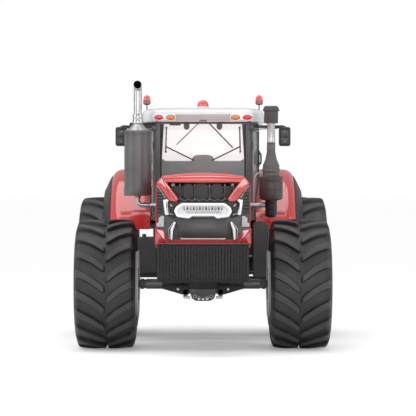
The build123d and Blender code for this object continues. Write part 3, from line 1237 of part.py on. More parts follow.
# ------------------------------------------------------------------ assembly
def build():
    """Files every node."""
    place_wheels()
    keep("front_axle", front_axle())
    left = knuckle()
    keep("knuckle_left", left)
    keep("knuckle_right", mirrored(left))
    keep("tie_rod", tie_rod())
    keep("front_frame", front_frame())
    keep("weight_carrier", weight_carrier())
    keep("front_weights", front_weights())
    keep("engine", engine())
    keep("cooling_pack", cooling_pack())
    keep("transmission", transmission())
    keep("rear_axle", rear_axle())
    keep("hitch_bracket", *hitch_bracket())
    keep("drawbar", drawbar())
    tank_left, tank_right = fuel_tanks()
    keep("fuel_tank_left", tank_left)
    keep("fuel_tank_right", tank_right)
    ladder = steps()
    keep("steps", ladder, mirrored(ladder))
    skin, flare = fender(), fender_flare()
    keep("fender_left", skin)
    keep("fender_right", mirrored(skin))
    keep("fender_flares", flare, mirrored(flare))
    keep("cab_tub", cab_tub())
    keep("cab_frame", cab_frame())
    keep("cab_glass", *cab_glass())
    keep("roof", roof())
    keep("roof_lamps", *roof_lamps())
    keep("beacons", *beacons())
    keep("dash", dash())
    keep("steering_wheel", steering_wheel())
    keep("seat", seat())
    mirror_left = mirrors()
    keep("mirrors", mirror_left, mirrored(mirror_left))
    frame, pane = door(), door_glass()
    keep("door_left", frame)
    keep("door_right", mirrored(frame))
    keep("door_glass_left", pane)
    keep("door_glass_right", mirrored(pane))
    keep("exhaust_can", exhaust_can())
    keep("exhaust_pipe", *exhaust_pipe())
    keep("air_cleaner", *air_cleaner())
    keep("intake_tube", *intake_tube())
    keep("hood", hood())
    keep("cowl", cowl())
    keep("bumper", bumper())
    keep("grille", grille())
    keep("headlamps", *headlamps())
    for name, piece in (("lower_links", lower_links()), ("lift_arms", lift_arms()),
                        ("lift_rods", lift_rods())):
        keep(name, piece, mirrored(piece))
    keep("top_link", top_link())
    keep("pto_shaft", pto_shaft())


build()
os.makedirs("parts", exist_ok=True)
for name, piece in parts.items():
    export_step(piece, f"parts/{name}.step")
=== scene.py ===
"""Looks of a large farm tractor with a hinged hood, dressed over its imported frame.

Metres. +X is the tractor's left side, -Y its front and +Z up, as in the frame.
"""
from __future__ import annotations

import logging
import math
from dataclasses import dataclass
from enum import Enum
from typing import Sequence

import bmesh
import bpy
import numpy as np
from mathutils import Matrix, Vector


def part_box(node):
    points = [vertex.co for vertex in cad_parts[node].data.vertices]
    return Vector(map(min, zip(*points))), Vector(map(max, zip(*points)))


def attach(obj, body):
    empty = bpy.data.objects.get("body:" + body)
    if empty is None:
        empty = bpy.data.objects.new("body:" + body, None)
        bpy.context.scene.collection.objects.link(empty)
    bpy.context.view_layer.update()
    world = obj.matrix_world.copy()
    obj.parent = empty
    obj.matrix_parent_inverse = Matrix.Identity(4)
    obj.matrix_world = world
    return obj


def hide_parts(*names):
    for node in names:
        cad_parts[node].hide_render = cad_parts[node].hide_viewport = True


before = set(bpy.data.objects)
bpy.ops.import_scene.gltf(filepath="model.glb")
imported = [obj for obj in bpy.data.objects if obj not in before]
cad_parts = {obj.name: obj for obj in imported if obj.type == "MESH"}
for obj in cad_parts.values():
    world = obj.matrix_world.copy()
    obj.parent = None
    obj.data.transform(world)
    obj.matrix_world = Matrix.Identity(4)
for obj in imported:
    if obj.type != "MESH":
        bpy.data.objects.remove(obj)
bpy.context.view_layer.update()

log = logging.getLogger("tractor")
Array = np.ndarray
Point = tuple[float, float, float]
Flat = tuple[float, float]
Colour = tuple[int, int, int]
SHARP = 32.0  # degrees over which an edge stays sharp


class Body(Enum):
    """The moving bodies that pieces ride on."""

    CHASSIS = "chassis"
    HOOD = "hood"
    DOOR_LEFT = "door_left"
    DOOR_RIGHT = "door_right"
    KNUCKLE_LEFT = "knuckle_left"
    KNUCKLE_RIGHT = "knuckle_right"
    TIE_ROD = "tie_rod"
    FRONT_WHEEL_LEFT = "front_wheel_left"
    FRONT_WHEEL_RIGHT = "front_wheel_right"
    REAR_WHEEL_LEFT = "rear_wheel_left"
    REAR_WHEEL_RIGHT = "rear_wheel_right"
    LIFT_ARMS = "lift_arms"
    LIFT_RODS = "lift_rods"
    LOWER_LINKS = "lower_links"
    TOP_LINK = "top_link"
    PTO_SHAFT = "pto_shaft"


class Side(Enum):
    """The tractor's two sides, by the sign of X."""

    LEFT = 1
    RIGHT = -1


class Facing(Enum):
    """The plane in which a flat outline is drawn."""

    FRONT = "x across, z up, depth along +y"
    PLAN = "x across, y along, depth along +z"


@dataclass(frozen=True)
class Span:
    """A box in the frame: its lowest and highest corners."""

    low: Array
    high: Array

    @classmethod
    def of(cls, node: str) -> "Span":
        """The box of a frame node at rest."""
        low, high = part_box(node)
        return cls(np.array(low), np.array(high))

    @property
    def centre(self) -> Array:
        """The box's middle."""
        return (self.low + self.high) / 2

    @property
    def size(self) -> Array:
        """The box's three edge lengths."""
        return self.high - self.low


# ---------------------------------------------------------------- surfaces as arrays
@dataclass
class Surface:
    """Points as an (n, 3) array, and faces as index arrays of one corner count each."""

    points: Array
    faces: list[Array]

    def moved(self, offset: Sequence[float]) -> "Surface":
        """The surface shifted by an offset."""
        return Surface(self.points + np.asarray(offset, float), self.faces)

    def mirrored(self) -> "Surface":
        """The surface reflected in the centre plane, with its faces turned back outwards."""
        return Surface(self.points * np.array([-1.0, 1.0, 1.0]), [f[:, ::-1] for f in self.faces])

    def turned(self, axis: str, degrees: float) -> "Surface":
        """The surface turned about an axis, right-handed."""
        turn = np.array(Matrix.Rotation(math.radians(degrees), 3, axis))
        return Surface(self.points @ turn.T, self.faces)


def joined(surfaces: Sequence[Surface]) -> Surface:
    """Several surfaces as one.

    Args:
        surfaces: the surfaces to put together.

    Returns:
        One surface that holds all their points and faces.
    """
    starts = np.cumsum([0] + [len(s.points) for s in surfaces[:-1]])
    faces = [f + start for s, start in zip(surfaces, starts) for f in s.faces]
    return Surface(np.concatenate([s.points for s in surfaces]), faces)


def both_sides(surface: Surface) -> Surface:
    """A surface together with its mirror image."""
    return joined([surface, surface.mirrored()])


def grid(points: Array, wrap_u: bool = False, wrap_v: bool = False) -> Surface:
    """A surface of two parameters from its sampled points.

    Corner (i, j) of the grid joins (i + 1, j), (i + 1, j + 1) and (i, j + 1) in a quad.

    Args:
        points: an array of shape (rows, columns, 3).
        wrap_u: whether the last row joins the first.
        wrap_v: whether the last column joins the first.

    Returns:
        The surface of quads.
    """
    rows, cols = points.shape[:2]
    i = np.arange(rows if wrap_u else rows - 1)[:, None]
    j = np.arange(cols if wrap_v else cols - 1)[None, :]
    i_next, j_next = (i + 1) % rows, (j + 1) % cols
    quads = np.stack([i * cols + j, i_next * cols + j, i_next * cols + j_next, i * cols + j_next], -1)
    return Surface(points.reshape(-1, 3), [quads.reshape(-1, 4)])


def capped(surface: Surface, count: int) -> Surface:
    """A grid's surface with its first and last rings of `count` points closed by a face each."""
    ring = np.arange(count)[None, :]
    surface.faces += [ring[:, ::-1], ring + len(surface.points) - count]
    return surface


def lathe(profile: Sequence[Flat], axis: str = "Z", centre: Sequence[float] = (0, 0, 0),
          segments: int = 64) -> Surface:
    """A surface of revolution.

    A profile point (along, radius) goes to along on the axis plus radius times (cos, sin) of the
    turn across it.

    Args:
        profile: (along, radius) points.
        axis: "X", "Y" or "Z".
        centre: where the axis starts.
        segments: how many steps make a full turn.

    Returns:
        The surface.
    """
    line = np.asarray(profile, float)
    turn = np.linspace(0, 2 * np.pi, segments, endpoint=False)
    along = np.broadcast_to(line[:, 0, None], (len(line), segments))
    u = line[:, 1, None] * np.cos(turn)
    v = line[:, 1, None] * np.sin(turn)
    order = {"X": (along, u, v), "Y": (v, along, u), "Z": (u, v, along)}[axis]
    return grid(np.stack(order, -1) + np.asarray(centre, float), wrap_v=True)


def spline(points: Sequence[Sequence[float]], samples: int = 8) -> Array:
    """Points along a Catmull-Rom spline through the given ones.

    Between two points the position is the cubic whose slopes there are half the difference of the
    neighbours.

    Args:
        points: the points it goes through, in two or three dimensions.
        samples: how many steps each stretch gets.

    Returns:
        The sampled points.
    """
    p = np.asarray(points, float)
    ends = np.concatenate([[2 * p[0] - p[1]], p, [2 * p[-1] - p[-2]]])
    t = np.linspace(0, 1, samples, endpoint=False)[None, :, None]
    a, b, c, d = (ends[k:len(ends) - 3 + k][:, None, :] for k in range(4))
    curve = 0.5 * (2 * b + (c - a) * t + (2 * a - 5 * b + 4 * c - d) * t ** 2 + (3 * b - a - 3 * c + d)
                   * t ** 3)
    return np.concatenate([curve.reshape(-1, p.shape[1]), p[-1:]])


def tube(path: Sequence[Sequence[float]], radius: float | Array, sides: int = 16,
         up: Sequence[float] = (0.13, 0.21, 0.97), closed: bool = False) -> Surface:
    """A round section carried along a path.

    At each path point the section lies in the plane square to the path's direction. Its first
    direction is the part of `up` that is square to the path, its second the cross product.

    Args:
        path: the points it follows.
        radius: the section's radius, one for all or one for each path point.
        sides: how many sides it has.
        up: the direction that fixes how the section is turned.
        closed: whether the path is a loop.

    Returns:
        The surface, with its ends closed unless it is a loop.
    """
    line = np.asarray(path, float)
    ahead = np.roll(line, -1, 0) - np.roll(line, 1, 0) if closed else np.gradient(line, axis=0)
    ahead /= np.linalg.norm(ahead, axis=1)[:, None]
    first = np.asarray(up, float) - (ahead @ np.asarray(up, float))[:, None] * ahead
    first /= np.linalg.norm(first, axis=1)[:, None]
    second = np.cross(ahead, first)
    turn = np.linspace(0, 2 * np.pi, sides, endpoint=False)
    section = np.stack([np.cos(turn), np.sin(turn)], -1)
    scale = np.broadcast_to(np.asarray(radius, float), (len(line),))[:, None, None]
    ring = (section[None, :, :1] * first[:, None] + section[None, :, 1:] * second[:, None]) * scale
    found = grid(line[:, None] + ring, wrap_u=closed, wrap_v=True)
    return found if closed else capped(found, sides)


def placed(flat: Array, depth: float | Array, facing: Facing = Facing.FRONT) -> Array:
    """Flat points with a depth as points in space.

    Args:
        flat: an array whose last axis holds the two flat coordinates.
        depth: the third coordinate.
        facing: the plane that the outline is drawn in.

    Returns:
        Points with three coordinates.
    """
    a, b = flat[..., 0], flat[..., 1]
    d = np.broadcast_to(depth, a.shape)
    return np.stack((a, d, b) if facing is Facing.FRONT else (a, b, d), -1)


def offset(base: Sequence[float], points: Sequence[Sequence[float]]) -> list[tuple[float, ...]]:
    """Points given from a base, as coordinates."""
    return [tuple(b + v for b, v in zip(base, point)) for point in points]


def rectangle(x: Flat, z: Flat) -> list[Flat]:
    """The corners of a rectangle between two x and two z."""
    return [(x[0], z[0]), (x[1], z[0]), (x[1], z[1]), (x[0], z[1])]


def rounded(outline: Sequence[Flat], radius: float | Sequence[float], steps: int = 5) -> Array:
    """An outline with its corners rounded.

    Each corner becomes a quadratic arc from one side to the next, that starts and ends `radius`
    from the corner or at 45% of the shorter side.

    Args:
        outline: the closed outline's corners.
        radius: how far from each corner its arc starts.
        steps: how many steps an arc has.

    Returns:
        The rounded outline.
    """
    p = np.asarray(outline, float)
    before, after = np.roll(p, 1, 0) - p, np.roll(p, -1, 0) - p
    len_b, len_a = np.linalg.norm(before, axis=1), np.linalg.norm(after, axis=1)
    reach = np.minimum(np.broadcast_to(radius, len_b.shape), 0.45 * np.minimum(len_a, len_b))
    start = (p + before * (reach / len_b)[:, None])[:, None]
    end = (p + after * (reach / len_a)[:, None])[:, None]
    t = np.linspace(0, 1, steps + 1)[None, :, None]
    return ((1 - t) ** 2 * start + 2 * t * (1 - t) * p[:, None] + t ** 2 * end).reshape(-1, 2)


def inset(outline: Array, distance: float) -> Array:
    """An outline drawn inwards by a distance, each point along the mean normal of its two sides.

    Args:
        outline: the closed outline.
        distance: how far, positive inwards.

    Returns:
        The new outline.
    """
    ahead = np.roll(outline, -1, 0) - outline
    ahead /= np.maximum(np.linalg.norm(ahead, axis=1), 1e-9)[:, None]
    behind = np.roll(ahead, 1, 0)
    mean = ahead + behind
    mean /= np.maximum(np.linalg.norm(mean, axis=1), 1e-9)[:, None]
    normal = np.stack([-mean[:, 1], mean[:, 0]], -1)
    x, y = outline[:, 0], outline[:, 1]
    area = np.sum(x * np.roll(y, -1) - np.roll(x, -1) * y)
    slack = np.clip(np.sum(mean * ahead, axis=1), 0.5, 1.0)
    return outline + normal * (distance * np.sign(area) / slack)[:, None]


def stacked(outline: Array, levels: Sequence[Flat]) -> Surface:
    """Rings of an outline in the front plane, for each level of (distance drawn in, depth)."""
    return grid(np.stack([placed(inset(outline, d), depth) for d, depth in levels]), wrap_v=True)


def prism(outline: Array, near: float, far: float, edge: float = 0.004, steps: int = 3) -> Surface:
    """A plate of an outline in the front plane with rounded edges.

    Rings of the outline follow a quarter circle of radius `edge` at each end: at turn a, the ring
    is drawn in by edge times (1 - sin a) and lies edge times (1 - cos a) from the end.

    Args:
        outline: the closed outline.
        near: the lower end of its depth.
        far: the upper end of its depth.
        edge: the radius of its edges.
        steps: how many steps an edge has.

    Returns:
        The closed surface.
    """
    turn = np.linspace(0, np.pi / 2, steps + 1)
    draw, sink = edge * (1 - np.sin(turn)), edge * (1 - np.cos(turn))
    levels = [(d, near + s) for d, s in zip(draw, sink)]
    levels += [(d, far - s) for d, s in zip(draw[::-1], sink[::-1])]
    return capped(stacked(outline, levels), len(outline))


def slab(x: Flat, y: Flat, z: Flat, edge: float = 0.004, corner: float = 0.0) -> Surface:
    """A block with rounded edges, drawn in the front plane.

    Args:
        x: its lower and upper x.
        y: its lower and upper y.
        z: its lower and upper z.
        edge: the radius of its edges.
        corner: the radius of its corners in the front plane, if larger.

    Returns:
        The closed surface.
    """
    return prism(rounded(rectangle(x, z), max(corner, edge), 4), y[0], y[1], edge)


def bolts(centres: Sequence[Point], axis: str, radius: float, height: float, sides: int = 6) -> Surface:
    """Bolt heads with a chamfer, all of one size.

    Args:
        centres: where their feet are.
        axis: "X", "Y" or "Z".
        radius: of a head.
        height: of a head, negative to point it the other way.
        sides: how many sides a head has.

    Returns:
        One surface for all of them.
    """
    profile = [(-0.3 * height, radius), (0.8 * height, radius), (height, 0.8 * radius), (height, 1e-5)]
    return joined([lathe(profile, axis, c, sides) for c in centres])


def build_mesh(name: str, surface: Surface, closed: bool = True,
               sharp: float = SHARP) -> bpy.types.Mesh:
    """A mesh from a surface.

    Args:
        name: the mesh's name.
        surface: its points and faces.
        closed: whether its doubles are merged and its faces turned outwards.
        sharp: the angle in degrees over which an edge stays sharp.

    Returns:
        The mesh.
    """
    mesh = bpy.data.meshes.new(name)
    counts = np.concatenate([np.full(len(f), f.shape[1]) for f in surface.faces])
    corners = np.concatenate([f.ravel() for f in surface.faces])
    mesh.vertices.add(len(surface.points))
    mesh.vertices.foreach_set("co", surface.points.astype(np.float32).ravel())
    mesh.loops.add(len(corners))
    mesh.loops.foreach_set("vertex_index", corners.astype(np.int32))
    mesh.polygons.add(len(counts))
    mesh.polygons.foreach_set("loop_start", (np.cumsum(counts) - counts).astype(np.int32))
    mesh.polygons.foreach_set("loop_total", counts.astype(np.int32))
    mesh.update(calc_edges=True)
    mesh.validate()
    if closed:
        work = bmesh.new()
        work.from_mesh(mesh)
        bmesh.ops.remove_doubles(work, verts=work.verts, dist=1e-5)
        bmesh.ops.recalc_face_normals(work, faces=work.faces)
        work.to_mesh(mesh)
        work.free()
    mesh.shade_smooth()
    mesh.set_sharp_from_angle(angle=math.radians(sharp))
    return mesh


def added(name: str, data: bpy.types.ID) -> bpy.types.Object:
    """A new object of the scene that shows the data."""
    thing = bpy.data.objects.new(name, data)
    bpy.context.scene.collection.objects.link(thing)
    return thing


class Workshop:
    """Turns surfaces into pieces of the scene and reports each."""

    def __init__(self, finishes: dict[str, bpy.types.Material]) -> None:
        """Takes the finishes by name, and starts with no pieces."""
        self.finishes = finishes
        self.count = 0

    def piece(self, name: str, surface: Surface, finish: str,
              stands_for: Sequence[str] = (), closed: bool = True, sharp: float = SHARP,
              body: Body = Body.CHASSIS) -> bpy.types.Object:
        """Makes one piece.

        Args:
            name: the piece's name.
            surface: its shape.
            finish: its finish, a key of FINISHES.
            stands_for: frame nodes that it replaces.
            closed: whether its faces are turned outwards.
            sharp: the angle over which its edges stay sharp.
            body: what it rides on.

        Returns:
            The object.
        """
        thing = added(name, build_mesh(name, surface, closed, sharp))
        thing.data.materials.append(self.finishes[finish])
        return self.register(thing, body, stands_for)

    def register(self, thing: bpy.types.Object, body: Body,
                 stands_for: Sequence[str]) -> bpy.types.Object:
        """Puts an object on its body and reports it.

        Args:
            thing: the object.
            body: what it rides on.
            stands_for: frame nodes that it replaces.

        Returns:
            The object.
        """
        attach(thing, body.value)
        if stands_for:
            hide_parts(*stands_for)
        self.count += 1
        log.info("%s on %s, %d faces", thing.name, body.value, len(thing.data.polygons))
        return thing

    def softened(self, node: str, body: Body, finish: str, width: float, slot: str) -> bpy.types.Object:
        """A merged copy of a frame node with its edges rounded, which stands for the node.

        Args:
            node: the frame node.
            body: what it rides on.
            finish: its finish, a key of FINISHES.
            width: of the rounding.
            slot: not used.

        Returns:
            The object.
        """
        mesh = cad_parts[node].data.copy()
        mesh.name = node + "_finish"
        work = bmesh.new()
        work.from_mesh(mesh)
        bmesh.ops.remove_doubles(work, verts=work.verts, dist=2e-5)
        bmesh.ops.dissolve_limit(work, angle_limit=math.radians(1.0), verts=work.verts,
                                 edges=work.edges)
        work.to_mesh(mesh)
        work.free()
        mesh.materials.clear()
        mesh.materials.append(self.finishes[finish])
        mesh.shade_smooth()
        mesh.set_sharp_from_angle(angle=math.radians(SHARP))
        thing = added(mesh.name, mesh)
        edge = thing.modifiers.new("Edges", "BEVEL")
        edge.width = width
        edge.segments = 2
        edge.limit_method = "ANGLE"
        edge.angle_limit = math.radians(SHARP)
        edge.use_clamp_overlap = True
        edge.harden_normals = True
        return self.register(thing, body, [node])


# ---------------------------------------------------------------- finishes
def linear(red: int, green: int, blue: int) -> tuple[float, float, float, float]:
    """An 8-bit sRGB colour as linear light: c / 12.92 below 0.04, else ((c + 0.055) / 1.055) ^ 2.4."""
    share = np.array([red, green, blue]) / 255
    light = np.where(share <= 0.04045, share / 12.92, ((share + 0.055) / 1.055) ** 2.4)
    return (*map(float, light), 1.0)


class Wiring:
    """Adds nodes to a tree and joins them."""

    def __init__(self, tree: bpy.types.NodeTree) -> None:
        """Takes the tree that it works on."""
        self.tree = tree

    def node(self, kind: str, inputs: dict | None = None, **settings: object) -> bpy.types.Node:
        """Adds one node.

        Args:
            kind: the node's type name without its "ShaderNode".
            inputs: its sockets by name or number, each set to a value or joined to a socket.
            settings: its other properties.

        Returns:
            The node.
        """
        made = self.tree.nodes.new("ShaderNode" + kind)
        for name, value in settings.items():
            setattr(made, name, value)
        for key, value in (inputs or {}).items():
            if isinstance(value, bpy.types.NodeSocket):
                self.tree.links.new(value, made.inputs[key])
            else:
                made.inputs[key].default_value = value
        return made

    def math(self, operation: str, *values: object) -> bpy.types.NodeSocket:
        """The result of a Math node on numbers or sockets, kept within 0 and 1."""
        inputs = dict(enumerate(values))
        return self.node("Math", inputs, operation=operation, use_clamp=True).outputs[0]

    def noise(self, scale: object, detail: float = 4.0) -> bpy.types.NodeSocket:
        """A noise pattern on object coordinates.

        Args:
            scale: how fine it is, in waves per metre.
            detail: how many octaves it has.

        Returns:
            The pattern's value.
        """
        place = self.node("TexCoord").outputs["Object"]
        inputs = {"Vector": place, "Scale": scale, "Detail": detail}
        return self.node("TexNoise", inputs).outputs[0]

    def spread(self, value: object, low: object, high: object, to_low: object = 0.0,
               to_high: object = 1.0) -> bpy.types.NodeSocket:
        """A value moved from one range to another and held inside it."""
        inputs = {"Value": value, "From Min": low, "From Max": high, "To Min": to_low,
                  "To Max": to_high}
        return self.node("MapRange", inputs).outputs[0]

    def blend(self, share: object, first: object, second: object) -> bpy.types.NodeSocket:
        """Two colours mixed by a share from 0 to 1."""
        made = self.node("Mix", {"Factor": share}, data_type="RGBA")
        for key, value in ((6, first), (7, second)):
            if isinstance(value, bpy.types.NodeSocket):
                self.tree.links.new(value, made.inputs[key])
            else:
                made.inputs[key].default_value = value
        return made.outputs[2]

    def end(self, shader: bpy.types.Node, kind: str = "Material") -> None:
        """Joins a shader to a new output node of the tree."""
        leave = self.node("Output" + kind)
        self.tree.links.new(shader.outputs[0], leave.inputs["Surface"])


def blank(data: bpy.types.Material | bpy.types.World) -> Wiring:
    """The wiring of a material's or a world's emptied tree."""
    data.use_nodes = True
    data.node_tree.nodes.clear()
    return Wiring(data.node_tree)


class Effects:
    """The node groups that several finishes share."""

    def __init__(self) -> None:
        """Builds each group once."""
        self.wear = self._wear()
        self.grain = self._grain()
        self.dust = self._dust()

    @staticmethod
    def _group(name: str, inputs: dict[str, float], outputs: Sequence[str]) -> tuple[bpy.types.NodeTree,
            Wiring, dict]:
        """Starts a group.

        Args:
            name: the group's name.
            inputs: its inputs and their usual values.
            outputs: its outputs' names.

        Returns:
            The group, its wiring and its input sockets by name.
        """
        tree = bpy.data.node_groups.new(name, "ShaderNodeTree")
        for key, value in inputs.items():
            tree.interface.new_socket(key, in_out="INPUT",
                                      socket_type="NodeSocketFloat").default_value = value
        for key in outputs:
            tree.interface.new_socket(key, in_out="OUTPUT", socket_type="NodeSocketFloat")
        entry = tree.nodes.new("NodeGroupInput")
        return tree, Wiring(tree), {key: entry.outputs[key] for key in inputs}

    @staticmethod
    def _end(tree: bpy.types.NodeTree, results: dict[str, bpy.types.NodeSocket]) -> bpy.types.NodeTree:
        """Joins a group's results to its outputs and returns the group."""
        leave = tree.nodes.new("NodeGroupOutput")
        for key, socket in results.items():
            tree.links.new(socket, leave.inputs[key])
        return tree

    def _wear(self) -> bpy.types.NodeTree:
        """Edge wear: where the surface turns outwards sharply, broken up by noise."""
        tree, wiring, given = self._group("edge_wear", {"Amount": 0.5, "Scale": 60.0}, ["Mask"])
        bend = wiring.node("NewGeometry").outputs["Pointiness"]
        edge = wiring.spread(bend, 0.53, 0.60)
        patch = wiring.spread(wiring.noise(given["Scale"]), 0.42, 0.62)
        mask = wiring.math("MULTIPLY", wiring.math("MULTIPLY", edge, patch), given["Amount"])
        return self._end(tree, {"Mask": mask})

    def _grain(self) -> bpy.types.NodeTree:
        """Grain: a fine pattern for bumps, and a slow one for differences of tone."""
        tree, wiring, given = self._group("grain", {"Fine": 900.0, "Slow": 3.0}, ["Height", "Tone"])
        fine = wiring.noise(given["Fine"], 3.0)
        slow = wiring.spread(wiring.noise(given["Slow"], 5.0), 0.3, 0.7)
        return self._end(tree, {"Height": fine, "Tone": slow})

    def _dust(self) -> bpy.types.NodeTree:
        """Dust: lies on faces that look up, and thickens towards the ground."""
        tree, wiring, given = self._group("dust", {"Amount": 0.3, "Top": 1.4}, ["Mask"])
        up = wiring.node("SeparateXYZ", {0: wiring.node("NewGeometry").outputs["Normal"]}).outputs[2]
        height = wiring.node("SeparateXYZ", {0: wiring.node("TexCoord").outputs["Object"]}).outputs[2]
        flat = wiring.spread(up, 0.2, 1.0, 0.25, 1.0)
        low = wiring.spread(height, given["Top"], 0.1)
        cloud = wiring.spread(wiring.noise(9.0, 6.0), 0.35, 0.7)
        mask = wiring.math("MULTIPLY", wiring.math("MULTIPLY", flat, cloud), given["Amount"])
        return self._end(tree, {"Mask": wiring.math("MULTIPLY", mask, wiring.math("ADD", low, 0.35))})


DUST_COLOUR = linear(158, 146, 128)


@dataclass(frozen=True)
class Finish:
    """A named material, whose kinds each wire their own shader."""

    name: str

    def made(self, effects: Effects) -> bpy.types.Material:
        """Builds the material.

        Args:
            effects: the shared groups.

        Returns:
            The material.
        """
        material = bpy.data.materials.new(self.name)
        wiring = blank(material)
        wiring.end(self.shader(wiring, effects))
        return material

    def shader(self, wiring: Wiring, effects: Effects) -> bpy.types.Node:
        """The node that gives the surface its look."""
        raise NotImplementedError


@dataclass(frozen=True)
class Coating(Finish):
    """A solid finish: paint, plastic, rubber, cast iron or bare metal.

    Its colour moves between two shades with a slow pattern, its edges may be worn to another colour,
    dust may lie on it, and a fine pattern gives its bumps. On a tyre the lug tops are lightened, partly
    as scuff and partly as a painted highlight, and the lug feet are darkened as painted shade; a glow
    is painted light.
    """

    colour: Colour
    shade: Colour
    roughness: float
    spread: float = 0.05
    metallic: float = 0.0
    coat: float = 0.0
    coat_roughness: float = 0.08
    specular: float = 0.5
    fine: float = 900.0
    slow: float = 3.0
    bump: float = 0.02
    bump_depth: float = 0.0004
    wear: float = 0.0
    wear_colour: Colour = (120, 120, 120)
    dust: float = 0.0
    # Emission of the finish's own colour: a painted glow, used on white lamp trim that is not lit.
    glow: float = 0.0
    # Tyre colours for the lug tops and the lug feet: tops lightened partly as scuff and partly as a
    # painted highlight, feet darkened as painted shade.
    lug_scuff_sheen_and_foot_shade: tuple[Colour, Colour] | None = None
    coat_ior: float = 1.5

    def shader(self, wiring: Wiring, effects: Effects) -> bpy.types.Node:
        """The coat over its bump, with wear and dust mixed into its colour, on tyres a painted lug
        highlight and shade, and any painted glow.
        """
        grain = wiring.node("Group", node_tree=effects.grain)
        grain.inputs["Fine"].default_value = self.fine
        grain.inputs["Slow"].default_value = self.slow
        tone, height = grain.outputs["Tone"], grain.outputs["Height"]
        colour = wiring.blend(tone, linear(*self.shade), linear(*self.colour))
        rough = wiring.spread(tone, 0.0, 1.0, self.roughness + self.spread, self.roughness)
        # Painted light on tyres: lug tops lightened (partly scuff, partly painted highlight), and a
        # dark band at the foot of each lug wall as painted shade.
        if self.lug_scuff_sheen_and_foot_shade:
            share = wiring.node("Attribute", attribute_name="lug_share").outputs["Fac"]
            low = wiring.math("MULTIPLY", wiring.spread(share, 0.0, 0.08),
                              wiring.spread(share, 0.75, 0.30))
            top = wiring.math("MULTIPLY", wiring.spread(share, 0.7, 1.0),
                              wiring.spread(tone, 0, 1, 0.6, 1.0))
            colour = wiring.blend(low, wiring.blend(top, colour, linear(*self.lug_scuff_sheen_and_foot_shade[0])),
                                  linear(*self.lug_scuff_sheen_and_foot_shade[1]))
        if self.wear:
            worn = wiring.node("Group", node_tree=effects.wear)
            worn.inputs["Amount"].default_value = self.wear
            colour = wiring.blend(worn.outputs[0], colour, linear(*self.wear_colour))
        if self.dust:
            lying = wiring.node("Group", node_tree=effects.dust)
            lying.inputs["Amount"].default_value = self.dust
            colour = wiring.blend(lying.outputs[0], colour, DUST_COLOUR)
            rough = wiring.spread(lying.outputs[0], 0.0, 1.0, rough, 0.9)
        bump = wiring.node("Bump", {"Strength": self.bump, "Distance": self.bump_depth,
                                    "Height": height})
        shader = wiring.node("BsdfPrincipled", {"Base Color": colour, "Roughness": rough,
                                                "Metallic": self.metallic, "Coat Weight": self.coat,
                                                "Coat Roughness": self.coat_roughness,
                                                "Coat IOR": self.coat_ior,
                                                "Specular IOR Level": self.specular,
                                                "Normal": bump.outputs[0]})
        # Painted glow: the surface emits its own colour.
        if self.glow:
            wiring.tree.links.new(colour, shader.inputs["Emission Color"])
            shader.inputs["Emission Strength"].default_value = self.glow
        return shader


@dataclass(frozen=True)
class Glazing(Finish):
    """Thin tinted glass that lets light through straight, with a faint film of dust, and where asked a
    painted white glow over its front part.
    """

    tint: Colour
    film: float = 0.06
    clear: float = 0.9
    painted_glow_below_y: float | None = None

    def shader(self, wiring: Wiring, effects: Effects) -> bpy.types.Node:
        """Tinted glass with its film, and the painted white glow if it has one."""
        cloud = wiring.spread(wiring.noise(4.0, 5.0), 0.35, 0.75, self.film, self.film * 2.5)
        tint = wiring.blend(cloud, linear(*self.tint), linear(200, 200, 198))
        bump = wiring.node("Bump", {"Strength": 0.02, "Distance": 0.001, "Height": wiring.noise(6.0)})
        alpha = wiring.spread(cloud, 0.0, 1.0, 1 - self.clear, 1.0)
        painted_white_glow = 0.0
        # Painted white glow: on faces in front of the given y and above z 2.65 the glass is whitened,
        # made opaque and made to emit, standing in for light seen through and off the windshield.
        if self.painted_glow_below_y is not None:
            place = wiring.node("SeparateXYZ", {0: wiring.node("TexCoord").outputs["Object"]})
            painted_white_glow = wiring.math("MULTIPLY", wiring.math("LESS_THAN", place.outputs[1], self.painted_glow_below_y),
                               wiring.spread(place.outputs[2], 2.650, 2.665, 0.05, 0.62))
            tint = wiring.blend(painted_white_glow, tint, linear(250, 249, 248))
            alpha = wiring.math("MAXIMUM", alpha, painted_white_glow)
        shader = wiring.node("BsdfPrincipled", {"Base Color": tint, "Roughness": 0.03, "Alpha": alpha,
                                                "Normal": bump.outputs[0], "IOR": 1.5,
                                                "Emission Color": (1, 1, 1, 1)})
        # Near-white emission of the painted glow, where its mask is set.
        if self.painted_glow_below_y is not None:
            wiring.tree.links.new(wiring.blend(painted_white_glow, linear(0, 0, 0), linear(255, 253, 252)),
                                  shader.inputs["Emission Color"])
            shader.inputs["Emission Strength"].default_value = 0.75
        return shader


@dataclass(frozen=True)
class Lens(Finish):
    """A moulded lamp lens: a flute pattern over a coloured body with a little glow."""

    colour: Colour
    shade: Colour
    pitch: float = 0.012
    glow: float = 0.0

    def shader(self, wiring: Wiring, effects: Effects) -> bpy.types.Node:
        """The fluted body."""
        place = wiring.node("TexCoord").outputs["Object"]
        inputs = {"Vector": place, "Scale": 0.314 / self.pitch, "Distortion": 0.0}
        flutes = wiring.node("TexWave", inputs, bands_direction="X", wave_profile="SIN").outputs[1]
        colour = wiring.blend(flutes, linear(*self.shade), linear(*self.colour))
        bump = wiring.node("Bump", {"Strength": 0.5, "Distance": 0.003, "Height": flutes})
        shader = wiring.node("BsdfPrincipled", {"Base Color": colour, "Roughness": 0.12,
                                                "Coat Weight": 0.6, "Coat Roughness": 0.03,
                                                "Normal": bump.outputs[0], "Emission Color": colour,
                                                "Emission Strength": self.glow})
        return shader


